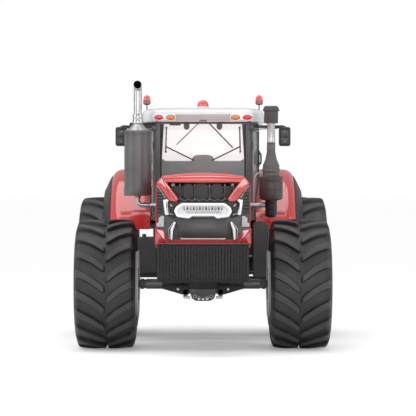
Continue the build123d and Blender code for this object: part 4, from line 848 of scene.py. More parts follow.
@dataclass(frozen=True)
class Mesh(Finish):
    """Black expanded-metal mesh: dark holes in a diagonal lattice."""

    colour: Colour
    hole: Colour
    pitch: float = 0.012

    def shader(self, wiring: Wiring, effects: Effects) -> bpy.types.Node:
        """The lattice."""
        place = wiring.node("TexCoord").outputs["Object"]
        turned = wiring.node("Mapping", {"Vector": place, "Rotation": (0, math.pi / 4, 0)})
        inputs = {"Vector": turned.outputs[0], "Scale": 1 / self.pitch, "Randomness": 0.0}
        cell = wiring.node("TexVoronoi", inputs, feature="F1", distance="CHEBYCHEV").outputs[0]
        web = wiring.spread(cell, 0.33, 0.42)
        colour = wiring.blend(web, linear(*self.hole), linear(*self.colour))
        bump = wiring.node("Bump", {"Strength": 0.6, "Distance": 0.003, "Height": web})
        return wiring.node("BsdfPrincipled", {"Base Color": colour, "Roughness": 0.45,
                                              "Normal": bump.outputs[0]})


FINISHES: dict[str, Finish] = {
    "red": Coating("red_gloss_paint", (212, 34, 36), (196, 26, 30), 0.34, coat=1.0, coat_roughness=0.05,
                   specular=0.1, bump=0.03, slow=2.0, fine=500.0, wear=0.3, wear_colour=(225, 120, 115),
                   dust=0.10),
    "red_polished": Coating("red_polished_paint", (212, 34, 36), (196, 26, 30), 0.34, coat=1.0,
                            coat_roughness=0.10, coat_ior=2.1, specular=0.1, bump=0.03, slow=2.0,
                            fine=500.0, wear=0.35, wear_colour=(236, 150, 145), dust=0.06),
    "sleeve": Coating("axle_tube_paint", (92, 91, 91), (80, 79, 79), 0.34, bump=0.15, fine=400.0,
                      coat=0.4, dust=0.1),
    "axle": Coating("axle_housing_paint", (74, 73, 73), (60, 59, 59), 0.5, bump=0.4, fine=300.0,
                    wear=0.5, wear_colour=(120, 118, 116), dust=0.2),
    "beacon_foot": Lens("beacon_foot_lens", (170, 52, 62), (140, 36, 46), 0.02, glow=0.05),
    "white": Coating("white_gloss_paint", (236, 236, 238), (228, 228, 232), 0.3, coat=0.6, bump=0.03,
                     dust=0.08),
    "fascia": Coating("grey_fascia_plastic", (184, 180, 181), (174, 170, 171), 0.42, bump=0.15,
                      fine=1400.0, dust=0.05),
    "silver": Coating("silver_wheel_paint", (230, 230, 231), (218, 218, 220), 0.38, metallic=0.0,
                      coat=0.4, bump=0.08, wear=0.4, wear_colour=(205, 205, 208), dust=0.35),
    "dark": Coating("black_satin_paint", (38, 38, 40), (28, 28, 30), 0.34, bump=0.1, coat=0.3,
                    wear=0.35, wear_colour=(95, 95, 97), dust=0.15),
    "cast": Coating("grey_cast_iron", (52, 50, 50), (40, 38, 39), 0.52, bump=0.5, fine=350.0,
                    bump_depth=0.0015, wear=0.5, wear_colour=(110, 108, 106), dust=0.35),
    "weights": Coating("weight_casting", (31, 31, 32), (27, 27, 28), 0.55, bump=0.10, fine=420.0,
                       specular=0.25, bump_depth=0.001, wear=0.5, wear_colour=(110, 110, 110),
                       dust=0.03),
    # Tyre: lug tops painted lighter, partly as scuff and partly as highlight, and lug feet painted
    # darker as shade.
    "tyre": Coating("tyre_rubber", (44, 43, 44), (38, 38, 39), 0.46, spread=0.12, bump=0.35, fine=700.0,
                    slow=6.0, bump_depth=0.0012, specular=0.5, dust=0.12,
                    lug_scuff_sheen_and_foot_shade=((60, 59, 60), (17, 17, 18))),
    "plastic": Coating("black_grained_plastic", (32, 32, 34), (25, 25, 27), 0.42, bump=0.4, fine=1200.0,
                       bump_depth=0.0008, dust=0.12),
    "gloss_black": Coating("gloss_black_trim", (18, 18, 20), (14, 14, 16), 0.12, coat=0.6, bump=0.02),
    "soot": Coating("soot", (9, 9, 9), (5, 5, 5), 0.9, bump=0.3, specular=0.1),
    "tank": Coating("moulded_tank", (82, 82, 83), (72, 72, 73), 0.45, bump=0.3, fine=800.0,
                    bump_depth=0.0008, dust=0.15),
    "field": Coating("lamp_reflector", (240, 240, 243), (222, 222, 226), 0.2, slow=40.0, coat=0.6,
                     bump=0.2, fine=300.0),
    "flare": Coating("rubber_flare", (46, 45, 46), (38, 37, 38), 0.4, bump=0.25, fine=1000.0,
                     dust=0.15),
    "panel": Coating("charcoal_panel", (80, 76, 78), (72, 69, 71), 0.4, coat=0.05, bump=0.08,
                     dust=0.05),
    "cover": Coating("dark_cover_plastic", (64, 60, 61), (54, 51, 52), 0.36, bump=0.15, dust=0.1),
    "canister": Coating("aluminised_steel", (108, 108, 109), (96, 96, 97), 0.44, metallic=0.5,
                        bump=0.25, fine=240.0, wear=0.3, wear_colour=(175, 175, 178), dust=0.06),
    "bright": Coating("polished_steel", (196, 195, 196), (182, 181, 182), 0.30, metallic=0.9, bump=0.05,
                      fine=160.0),
    "steel": Coating("bare_steel", (150, 150, 152), (128, 128, 130), 0.34, metallic=0.9, bump=0.2,
                     wear=0.3, wear_colour=(190, 190, 190), dust=0.15),
    "bracket": Coating("light_grey_bracket", (196, 194, 193), (184, 182, 181), 0.42, bump=0.12),
    "cup": Coating("cleaner_cup_plastic", (74, 70, 69), (64, 60, 59), 0.42, bump=0.3, fine=1000.0),
    "hose": Coating("ribbed_hose", (104, 102, 102), (92, 90, 90), 0.4, bump=0.2),
    "fabric": Coating("seat_cloth", (48, 48, 50), (36, 36, 38), 0.85, bump=0.8, fine=1600.0, slow=12.0,
                      bump_depth=0.0015),
    "dash": Coating("dash_top_grey", (143, 149, 149), (136, 142, 142), 0.6, bump=0.2, specular=0.2),
    "trim": Coating("cab_lining", (108, 104, 104), (92, 88, 88), 0.6, bump=0.3, fine=900.0),
    # White lamp plastic with a painted glow.
    "light_bar": Coating("light_bar_white_painted_glow", (244, 244, 246), (234, 234, 238), 0.2, coat=0.8, bump=0.02,
                         glow=0.15),
    "diode": Coating("lamp_diode", (96, 88, 90), (70, 64, 66), 0.15, coat=0.6, bump=0.1),
    "amber": Lens("amber_lens", (226, 140, 30), (196, 108, 20), glow=0.05),
    "red_lens": Lens("red_lens", (226, 26, 26), (184, 14, 14), glow=0.12),
    "beacon": Lens("beacon_lens", (234, 108, 106), (212, 70, 68), 0.02, glow=0.1),
    "lamp": Lens("work_lamp_lens", (200, 200, 204), (120, 120, 124), 0.01),
    "mesh": Mesh("lamp_mesh", (70, 66, 66), (22, 20, 20), 0.014),
    "screen": Mesh("cooler_screen", (78, 74, 75), (40, 37, 38), 0.018),
    # The windshield part of this glass carries a painted white glow.
    "glass": Glazing("cab_glass_clear", (70, 74, 74), painted_glow_below_y=0.215),
    "door_glass": Glazing("door_glass_smoked", (168, 168, 170), film=0.10, clear=0.55),
    "mirror": Coating("mirror_glass", (150, 152, 156), (144, 146, 150), 0.03, metallic=1.0, bump=0.01),
}


def finishes() -> dict[str, bpy.types.Material]:
    """Every finish of the tractor, built once."""
    effects = Effects()
    return {key: finish.made(effects) for key, finish in FINISHES.items()}


# ---------------------------------------------------------------- wheels
def signed_power(value: Array, exponent: float) -> Array:
    """|value| ^ exponent with the value's sign."""
    return np.sign(value) * np.abs(value) ** exponent


def smooth(value: Array, low: float, high: float) -> Array:
    """A step from 0 to 1 between two values: 3 t^2 - 2 t^3, where t is the share of the way."""
    t = np.clip((value - low) / (high - low), 0, 1)
    return t * t * (3 - 2 * t)


@dataclass
class LuggedTyre:
    """A deep-lug traction tyre, worked out as one closed net for each half.

    Across the tyre, stations give the groove floor, the lug top, how far the lug leads in pitches
    and how wide half of it is. Around it, every pitch has the same columns, and they move with the
    lug, so that they always lie along its edges.
    """

    node: str
    body: Body
    side: Side
    lugs: int
    bead_r: float
    phase: float = 270.0
    shoulder: float = 0.055
    inner_share: float = 1.0
    fit: float = 0.9992
    stations: tuple = ((0.004, 52, 52, 0.86, 0.030), (0.012, 52, 30, 0.845, 0.070),
                       (0.028, 52, 3, 0.81, 0.115), (0.060, 52, 0, 0.74, 0.140),
                       (0.13, 52, 0, 0.575, 0.148), (0.23, 54, 3, 0.36, 0.152),
                       (0.34, 60, 9, 0.18, 0.158), (0.43, 70, 22, 0.05, 0.165),
                       (0.462, 104, 66, 0.01, 0.165), (0.484, 152, 128, 0.0, 0.15),
                       (0.494, 187, 184, 0.0, 0.14))

    def section(self) -> tuple[Array, Array]:
        """The half section across the tyre.

        Returns:
            The tread's rows (share of the width, groove drop, lug drop, lead, half width), and the
            sidewall's rows (share of the width, radius).
        """
        box = Span.of(self.node)
        radius = box.size[2] / 2
        height = radius - self.bead_r
        tread = spline(self.stations, 5)
        last = radius - self.stations[-1][1] / 1000
        wall = spline([(0.494, last), (0.4995, self.bead_r + 0.50 * height),
                       (0.499, self.bead_r + 0.40 * height), (0.487, self.bead_r + 0.24 * height),
                       (0.466, self.bead_r + 0.12 * height), (0.452, self.bead_r + 0.075 * height),
                       (0.440, self.bead_r + 0.055 * height), (0.432, self.bead_r + 0.02)], 5)
        return tread, wall

    def half(self, sign: int, offset: float) -> Surface:
        """One half of the tyre.

        Column k of a pitch lies at u(k) pitches, and the angle is (u + lead) pitches from the
        phase. The radius is groove + (lug - groove) * step, where the step falls from 1 to 0 over
        the lug's shoulder.

        Args:
            sign: 1 for the half towards +X.
            offset: how far it is turned, in pitches.

        Returns:
            The half's surface.
        """
        box = Span.of(self.node)
        radius, width = box.size[2] / 2, box.size[0]
        tread, wall = self.section()
        half_w = tread[:, 4][:, None]
        edge = self.shoulder
        gap = 0.5 - half_w - edge
        ups = [half_w * 0.45, half_w * 0.9, half_w, half_w + 0.25 * edge, half_w + 0.6 * edge,
               half_w + edge, half_w + edge + 0.4 * gap]
        right = np.concatenate(ups, 1)
        zero, end = np.zeros_like(half_w), np.full_like(half_w, -0.5)
        columns = np.concatenate([end, -right[:, ::-1], zero, right], 1)
        count = columns.shape[1]
        even = np.arange(count)[None, :] / count - 0.5
        settle = smooth(tread[:, 0], 0.004, 0.02)[:, None]
        columns = settle * columns + (1 - settle) * even
        rise = 1 - smooth(np.abs(columns), half_w, half_w + edge)
        drop = (tread[:, 1][:, None] * (1 - rise) + tread[:, 2][:, None] * rise) / 1000
        radii = radius - drop
        lead = tread[:, 3][:, None]
        centre = np.concatenate([[[0.0]], tread[:, :1]]) * width
        columns = np.concatenate([even, columns])
        lead = np.concatenate([lead[:1], lead])
        radii = np.concatenate([np.full((1, count), radius - 0.052), radii])
        wall_u = np.repeat(columns[-1:], len(wall) - 1, 0)
        columns = np.concatenate([columns, wall_u])
        lead = np.concatenate([lead, np.zeros((len(wall) - 1, 1))])
        radii = np.concatenate([radii, np.repeat(wall[1:, 1:], count, 1)])
        across = np.concatenate([centre, wall[1:, :1] * width])
        turn = columns[:, None, :] + np.arange(self.lugs)[None, :, None] + lead[:, None, :] + offset
        angle = np.radians(self.phase + 360 / self.lugs * (turn.reshape(len(columns), -1)))
        radii = np.tile(radii, (1, self.lugs))
        share = self.inner_share if sign != self.side.value else 1.0
        x = np.broadcast_to(sign * share * across, radii.shape)
        points = np.stack([x, radii * np.cos(angle), radii * np.sin(angle)], -1)
        return grid(points * self.fit + box.centre, wrap_v=True)

    def build(self, shop: Workshop) -> None:
        """Makes the tyre in place of its node."""
        box = Span.of(self.node)
        lead_in = -0.91
        halves = [self.half(1, lead_in), self.half(-1, lead_in + 0.5)]
        radius = box.size[2] / 2
        inner = [(-0.432, 0.02), (-0.425, 0.002), (-0.40, 0.001), (0.40, 0.001), (0.425, 0.002),
                 (0.432, 0.02)]
        shares = [self.inner_share if a * self.side.value < 0 else 1.0 for a, _ in inner]
        lining = lathe([(a * box.size[0] * s, self.bead_r + r) for (a, r), s in zip(inner, shares)],
                       "X", box.centre, self.lugs * 15)
        tread = shop.piece(self.node + "_tread", joined(halves + [lining]), "tyre", [self.node],
                           sharp=40, body=self.body)
        self._mark(tread.data, radius)

    def _mark(self, mesh: bpy.types.Mesh, radius: float) -> None:
        """Stores each vertex's share of the lug's height: (r - groove) / (lug - groove) at its x."""
        box = Span.of(self.node)
        points = np.empty(len(mesh.vertices) * 3, np.float32)
        mesh.vertices.foreach_get("co", points)
        points = points.reshape(-1, 3) - box.centre
        across = np.abs(points[:, 0]) / box.size[0]
        across = np.where(points[:, 0] * self.side.value < 0, across / self.inner_share, across)
        stations = np.asarray(self.stations)
        groove = radius - np.interp(across, stations[:, 0], stations[:, 1]) / 1000
        lug = radius - np.interp(across, stations[:, 0], stations[:, 2]) / 1000
        share = (np.hypot(points[:, 1], points[:, 2]) - groove) / np.maximum(lug - groove, 0.004)
        share = np.where(across > 0.47, 0.0, np.clip(share, 0, 1))
        # The tyre finish paints its lug highlight and shade from this share.
        mesh.attributes.new("lug_share", "FLOAT", "POINT").data.foreach_set("value",
                share.astype(np.float32))


@dataclass
class DishedRim:
    """A painted steel rim: barrel with flanges, dished disc with slots, bolts and a hub."""

    node: str
    tyre: str
    body: Body
    side: Side
    bead_r: float
    hub_r: float
    bolt_ring: float
    disc_x: float
    hub_in: float
    inner_lip: float = 0.0
    bolt_count: int = 12
    wall: float = 0.012
    segments: int = 96

    def build(self, shop: Workshop) -> None:
        """Makes the barrel, disc and bolts in place of the node."""
        box, tyre = Span.of(self.node), Span.of(self.tyre)
        sign = self.side.value
        centre = (tyre.centre[0], box.centre[1], box.centre[2])
        out = abs(box.high[0] if sign > 0 else box.low[0]) - abs(tyre.centre[0])
        inn = self.inner_lip or abs(tyre.centre[0]) - abs(box.low[0] if sign > 0 else box.high[0])
        lip = box.size[2] / 2
        seat, thin = self.bead_r, self.wall
        barrel = [(-inn, lip - 0.006), (-inn + 0.004, lip), (-inn + 0.016, lip - 0.001),
                  (-inn + 0.022, seat + 0.004), (-inn + 0.05, seat), (-0.11, seat - 0.008),
                  (-0.06, seat - 0.045), (0.06, seat - 0.045), (0.11, seat - 0.008), (out - 0.05, seat),
                  (out - 0.022, seat + 0.004), (out - 0.016, lip - 0.001), (out - 0.004, lip),
                  (out, lip - 0.006), (out - 0.002, lip - 0.014), (out - 0.016, seat - 0.012),
                  (out - 0.05, seat - thin - 0.004), (0.12, seat - thin - 0.012),
                  (0.07, seat - 0.045 - thin), (-0.07, seat - 0.045 - thin),
                  (-0.12, seat - thin - 0.012), (-inn + 0.05, seat - thin - 0.004),
                  (-inn + 0.016, seat - 0.012), (-inn + 0.002, lip - 0.014), (-inn, lip - 0.006)]
        shell = lathe([(sign * a, r) for a, r in barrel], "X", centre, self.segments)
        disc = self._disc(centre, seat)
        shop.piece(self.node + "_shell", joined([shell, disc]), "silver", [self.node],
                   body=self.body)
        shop.piece(self.node + "_bolts", self._bolts(centre), "steel", body=self.body)
        shop.piece(self.node + "_hub", self._hub(centre), "dark", body=self.body)

    def _disc(self, centre: Sequence[float], seat: float) -> Surface:
        """The dished disc: a profile turned about the axle, with eight pressed windows.

        The face moves in by 0.011 * b(r) * (1 + cos(8 t)) / 2, where b is a smooth hump between
        the bolt ring and the barrel.
        """
        sign, face = self.side.value, self.disc_x
        ring = self.bolt_ring
        outer = [(0.090, 1e-4), (0.090, self.hub_r * 0.8), (0.075, self.hub_r * 0.82),
                 (0.075, ring + 0.028), (0.068, ring + 0.045), (0.050,
                                                                ring + 0.5 * (seat - ring - 0.1)),
                 (0.036, seat - 0.085), (0.030, seat - 0.068), (0.030, seat - 0.050)]
        inner = [(0.0, seat - 0.052), (0.0, seat - 0.072), (0.045, ring + 0.04), (0.045, 1e-4)]
        fine = spline(outer, 5)
        line = np.concatenate([fine, inner])
        turn = np.linspace(0, 2 * np.pi, self.segments, endpoint=False)
        hump = smooth(fine[:, 1], ring + 0.035, ring + 0.075) * (1
                                                                 - smooth(fine[:, 1], seat - 0.115,
                seat - 0.08))
        press = np.concatenate([hump, np.zeros(len(inner))])[:, None] * 0.011
        along = line[:, :1] + face - press * smooth(np.cos(8 * turn), -0.2, 0.3)[None, :]
        u, v = line[:, 1:] * np.cos(turn), line[:, 1:] * np.sin(turn)
        return grid(np.stack([sign * along, u, v], -1) + np.asarray(centre), wrap_v=True)

    def _hub(self, centre: Sequence[float]) -> Surface:
        """The planetary hub: a stepped drum through the disc with cover bolts and a plug."""
        sign, face, r = self.side.value, self.disc_x, self.hub_r
        profile = [(self.hub_in, 1e-4), (self.hub_in, r - 0.02), (self.hub_in + 0.02, r - 0.001),
                   (face + 0.044, r - 0.001), (face + 0.060, r * 0.8), (face + 0.082, r * 0.8),
                   (face + 0.090, r * 0.76), (face + 0.092, r * 0.42), (face + 0.099, r * 0.38),
                   (face + 0.0995, 1e-4)]
        drum = lathe([(sign * a, q) for a, q in profile], "X", centre, 64)
        turn = np.radians(np.arange(8) * 45 + 22.5)
        places = [(centre[0] + sign * (face + 0.090), centre[1] + r * 0.6 * math.cos(t),
                   centre[2] + r * 0.6 * math.sin(t)) for t in turn]
        return joined([drum, bolts(places, "X", 0.010, sign * 0.008)])

    def _bolts(self, centre: Sequence[float]) -> Surface:
        """The wheel bolts, on a ring."""
        sign = self.side.value
        turn = np.radians(np.arange(self.bolt_count) * 360 / self.bolt_count)
        places = [(centre[0] + sign * (self.disc_x + 0.075), centre[1] + self.bolt_ring * math.cos(t),
                   centre[2] + self.bolt_ring * math.sin(t)) for t in turn]
        return bolts(places, "X", 0.017, sign * 0.022)


# ---------------------------------------------------------------- studio
@dataclass
class Studio:
    """Floor, soft light and camera."""

    distance: float = 33.35
    eye: float = 2.275
    reach: float = 2269.0 / 416  # the lens's focal length in widths of its sensor
    shift: Flat = (0.012, -0.0505)
    floor_half: float = 400.0
    target: Point = (0, 0, 1.5)

    def build(self) -> None:
        """Makes the studio."""
        self._floor()
        self._world()
        self._lamps()
        self._camera()

    def _floor(self) -> None:
        """A pale floor that keeps the tractor's shadow and runs to the horizon."""
        side = np.array([-1.0, -0.2, -0.03, 0.03, 0.2, 1.0]) * self.floor_half
        y, x = np.meshgrid(side, side, indexing="ij")
        mesh = build_mesh("floor", grid(np.stack([x, y, np.zeros_like(x)], -1)), closed=False)
        mesh.flip_normals()
        floor = added("floor", mesh)
        material = bpy.data.materials.new("studio_floor")
        wiring = blank(material)
        tone = wiring.blend(wiring.noise(0.5), linear(238, 238, 238), linear(244, 244, 244))
        seen = wiring.node("LightPath").outputs
        lift = wiring.math("MULTIPLY", wiring.math("MAXIMUM", seen["Is Camera Ray"],
                                                   seen["Is Transmission Ray"]), 0.225)
        shader = wiring.node("BsdfPrincipled", {"Base Color": tone, "Roughness": 0.9,
                                                "Specular IOR Level": 0.1,
                                                "Emission Color": (1, 1, 1, 1),
                                                "Emission Strength": lift})
        wiring.end(shader)
        mesh.materials.append(material)

    def _world(self) -> None:
        """White as seen and mirrored, and half as strong as a light."""
        world = bpy.data.worlds.new("studio")
        bpy.context.scene.world = world
        wiring = blank(world)
        seen = wiring.node("LightPath").outputs
        direct = wiring.math("MAXIMUM", seen["Is Camera Ray"], seen["Is Transmission Ray"])
        shown = wiring.math("MAXIMUM", direct, wiring.math("MULTIPLY", seen["Is Glossy Ray"], 0.04))
        strength = wiring.spread(shown, 0.0, 1.0, 0.46, 1.0)
        back = wiring.node("Background", {"Color": (1, 1, 1, 1), "Strength": strength})
        wiring.end(back, "World")

    def _lamps(self) -> None:
        """A wide overhead sun, and soft boxes in front and at both sides."""
        sun = bpy.data.lights.new("overhead", "SUN")
        sun.energy, sun.angle = 1.30, math.radians(62)
        self._hang(sun, (0, 0, 12), (-0.16, 0.02, 1.0))
        for name, place, size, watts in (("front_box", (0.0, -19.0, 5.5), (15.0, 5.0), 850),
                                         ("left_box", (11.0, -4.5, 7.0), (5.0, 8.0), 420),
                                         ("right_box", (-11.0, -4.5, 7.0), (5.0, 8.0), 420)):
            box = bpy.data.lights.new(name, "AREA")
            box.shape, (box.size, box.size_y), box.energy = "RECTANGLE", size, watts
            self._hang(box, place, Vector(place) - Vector(self.target))

    @staticmethod
    def _hang(data: bpy.types.Light, place: Sequence[float], away: Sequence[float]) -> None:
        """Hangs a lamp at a place, with its back towards a direction."""
        lamp = added(data.name, data)
        lamp.location = place
        lamp.rotation_euler = Vector(away).to_track_quat("Z", "Y").to_euler()

    def _camera(self) -> None:
        """A long lens, level, straight in front."""
        data = bpy.data.cameras.new("camera")
        data.sensor_width = 36.0
        data.lens = self.reach * data.sensor_width
        data.shift_x, data.shift_y = self.shift
        data.clip_end = 1000.0
        camera = added("camera", data)
        camera.location = (0.0, -self.distance, self.eye)
        camera.rotation_euler = (math.pi / 2, 0, 0)
        bpy.context.scene.camera = camera


# ---------------------------------------------------------------- nose
@dataclass
class NoseLip:
    """The hood's skin, its front lip and the two painted arms that reach down to the lamps."""

    lip_depth: float = 0.124
    half: float = 0.549
    crown: float = 2.464
    drop: float = 0.042
    roll: float = 0.017
    lift: float = 0.0015

    def build(self, shop: Workshop) -> None:
        """Makes the hood's skin in place of its node, and the lip and arms over it."""
        self._skin(shop)
        self._lip(shop)
        self._arms(shop)

    def _skin(self, shop: Workshop) -> None:
        """The CAD skin with rounded edges; the lip and arms lie over it."""
        shop.softened("hood", Body.HOOD, "red", 0.006, "paint_red")

    def _lip(self, shop: Workshop) -> None:
        """The lip: a section that rolls forwards and under, drawn across the crown.

        Its section runs from the crown's top edge forwards in a quarter round, down the face and
        back under. At each x the section keeps its shape and follows the arch.
        """
        front, radius, lift = Span.of("hood").low[1], self.roll, self.lift
        x = np.linspace(-self.half, self.half, 61)
        top = self.crown - self.drop * (x / self.half) ** 2
        low = np.full_like(x, self.crown - self.lip_depth)
        turn = np.radians(np.array([90, 108, 126, 144, 162, 180.0, 196.0]))
        rows = [np.stack([x, np.full_like(x, front + 0.075), top + lift - 0.001], -1)]
        for t in turn:
            y = front - 0.0085 + radius + radius * math.cos(t)
            z = top + lift - radius + radius * math.sin(t)
            rows.append(np.stack([x, np.full_like(x, y), z], -1))
        for part, out in ((0.20, 0.0090), (0.26, 0.0084), (0.40, 0.0060), (0.52, 0.0030),
                          (0.62, 0.0006), (0.68, 0.0004), (0.80, 0.0016), (0.92, 0.0050)):
            z = top + lift - radius - (top - low - radius) * part
            rows.append(np.stack([x, np.full_like(x, front + out - 0.0155), z], -1))
        rows.append(np.stack([x, np.full_like(x, front - 0.004), low - lift], -1))
        rows.append(np.stack([x, np.full_like(x, front + 0.05), low - lift], -1))
        sheet = grid(np.stack(rows))
        shop.piece("hood_lip_skin", sheet, "red_polished", closed=False, sharp=50,
                   body=Body.HOOD)

    def _arms(self, shop: Workshop) -> None:
        """The arms: a rounded outline whose face is crowned."""
        front, half, crown = Span.of("hood").low[1], self.half, self.crown
        outline = rounded(offset((half, crown), [(0.002, -0.038), (0.079, -0.135), (-0.090, -0.368),
                                                 (-0.119, -0.388), (-0.189, -0.388), (-0.218, -0.355),
                                                 (-0.049, -0.118)]), 0.02, 4)
        plate = prism(outline, front - 0.020, front + 0.04, 0.020, 5)
        shop.piece("hood_arm_covers", both_sides(plate), "red_polished", body=Body.HOOD)


@dataclass
class EngineFace:
    """What shows between the arms: cooler screen, three rounded covers, hoses and the lower edge."""

    def build(self, shop: Workshop) -> None:
        """Makes the screen, the covers and the scalloped edge."""
        pack = Span.of("cooling_pack")
        face = pack.low[1]
        shop.softened("cooling_pack", Body.CHASSIS, "screen", 0.004, "paint_dark")
        covers = []
        for x, w, low, high in ((-0.200, 0.066, 2.112, 2.322), (-0.017, 0.082, 2.100, 2.330),
                                (0.192, 0.072, 2.112, 2.322)):
            outline = rounded(rectangle((x - w, x + w), (low, high)), 0.035, 5)
            covers.append(prism(outline, face + 0.0005, face + 0.05, 0.016, 4))
            for z in (low + 0.05, high - 0.05):
                covers.append(prism(rounded(rectangle((x - w - 0.028, x + w + 0.028),
                                                      (z - 0.016, z + 0.016)), 0.01, 3), face + 0.01,
                                    face + 0.045, 0.005))
        shop.piece("intake_covers", joined(covers), "cover")
        self._clutter(shop, face)
        posts = [slab((x - 0.011, x + 0.011), (face + 0.012, face + 0.044), (2.09, 2.33), 0.004)
                 for x in (-0.425, -0.315, -0.112, 0.090, 0.300, 0.415)]
        shop.piece("cooler_posts", joined(posts), "panel")
        tabs = joined([prism(rounded(rectangle((s * 0.385, s * 0.425), (2.286, 2.325)), 0.006, 3),
                             face + 0.004, face + 0.03, 0.004) for s in (-1, 1)])
        shop.piece("cooler_tabs", tabs, "bracket")
        self._scallops(shop)

    def _clutter(self, shop: Workshop, face: float) -> None:
        """Hoses over the covers, red clips beside them and bolt heads between."""
        hoses = [tube(placed(spline([(x, 2.335), (x + 0.03, 2.30), (x + 0.055, 2.25), (x + 0.05, 2.20)],
                                    6), face + 0.022), 0.011, 10) for x in (-0.47, -0.115, 0.075, 0.35)]
        hoses += [tube(placed(spline([(-0.29, 2.315), (-0.1, 2.338), (0.1, 2.336), (0.28, 2.315)], 6),
                              face + 0.03), 0.009, 10)]
        shop.piece("engine_hoses", joined(hoses), "plastic")
        clips = [slab((x - 0.008, x + 0.008), (face + 0.002, face + 0.03), (z - 0.010, z + 0.010),
                      0.003) for x, z in ((-0.455, 2.25), (-0.360, 2.21), (0.452, 2.25), (0.352, 2.21),
                                          (-0.09, 2.14), (0.106, 2.14))]
        shop.piece("engine_clips", joined(clips), "red")
        heads = [(x, face + 0.012, z) for x in (-0.425, -0.315, -0.112, 0.090, 0.300, 0.415)
                 for z in (2.12, 2.30)]
        shop.piece("cooler_bolts", bolts(heads, "Y", 0.009, -0.008), "steel")

    def _scallops(self, shop: Workshop) -> None:
        """The bright rolled edge under the covers: z = low + rise * |sin(pi x / pitch)|."""
        grille = Span.of("grille")
        x = np.linspace(-0.30, 0.30, 121)
        z = 2.084 + 0.020 * np.abs(np.sin(np.pi * (x + 0.05) / 0.10)) ** 0.7
        path = np.stack([x, np.full_like(x, grille.low[1] + 0.05), z], -1)
        shop.piece("grille_top_edge", tube(path, 0.0065, 8), "hose", body=Body.HOOD)


@dataclass
class NosePanel:
    """The dark front panel: lamp surrounds, edges, a painted highlight line along each arm, louvres,
    red corners, guards and creases.
    """

    def build(self, shop: Workshop) -> None:
        """Makes the panel's covering pieces."""
        box = Span.of("grille")
        shop.softened("grille", Body.HOOD, "panel", 0.006, "plastic_black")
        front = box.low[1] + 0.045
        mesh = rounded([(0.300, 2.068), (0.372, 2.012), (0.398, 1.945), (0.356, 1.862), (0.412, 1.846),
                        (0.500, 1.890), (0.515, 2.060), (0.480, 2.150), (0.440, 2.080), (0.340, 2.075)],
                       0.01, 3)
        shop.piece("lamp_surrounds", both_sides(prism(mesh, front - 0.006, front + 0.004, 0.002, 2)),
                   "mesh", body=Body.HOOD)
        edge = np.array([(0.640, 2.300), (0.640, 2.06), (0.640, 1.90), (0.640, 1.725)])
        path = np.stack([edge[:, 0] - 0.006, np.full(4, front - 0.002), edge[:, 1]], -1)
        shop.piece("panel_side_edges", both_sides(tube(path, 0.006, 8)), "red", body=Body.HOOD)
        # A pale line along each arm's outer edge: a painted highlight.
        rim = placed(spline([(0.622, 2.300), (0.585, 2.250), (0.545, 2.188), (0.508, 2.132)], 6),
                     front - 0.004)
        shop.piece("panel_arm_highlight_lines", both_sides(tube(rim, 0.006, 8)), "bracket", body=Body.HOOD)
        louvres = [slab((0.548, 0.632), (front - 0.012, front + 0.01), (z, z + 0.020), 0.006)
                   for z in np.arange(1.92, 2.20, 0.044)]
        shop.piece("panel_louvres", both_sides(joined(louvres)), "plastic",
                   body=Body.HOOD)
        corner = rounded([(0.652, 1.716), (0.566, 1.700), (0.528, 1.690), (0.514, 1.640),
                          (0.484, 1.508), (0.652, 1.500)], 0.012, 4)
        shop.piece("nose_corners", both_sides(prism(corner, front - 0.016, front + 0.05, 0.016, 4)),
                   "red_polished", body=Body.HOOD)
        hood = Span.of("hood")
        guard = slab((0.596, 0.600), (hood.low[1] + 0.30, hood.low[1] + 1.46), (1.66, 2.20), 0.0015,
                     0.03)
        wires = [slab((0.600, 0.606), (y, y + 0.006), (1.68, 2.18), 0.002)
                 for y in np.arange(hood.low[1] + 0.33, hood.low[1] + 1.44, 0.034)]
        shop.piece("hood_guards", both_sides(guard), "mesh", body=Body.HOOD)
        shop.piece("hood_guard_wires", both_sides(joined(wires)), "dark", body=Body.HOOD)
        self._folds(shop, front)

    def _folds(self, shop: Workshop, front: float) -> None:
        """Two creases beside the centre panel."""
        crease = rounded([(0.300, 1.842), (0.330, 1.838), (0.352, 1.720), (0.330, 1.600),
                          (0.306, 1.600), (0.326, 1.720)], 0.008, 3)
        plate = prism(crease, front - 0.018, front + 0.002, 0.004)
        shop.piece("panel_creases", both_sides(plate), "dark", body=Body.HOOD)


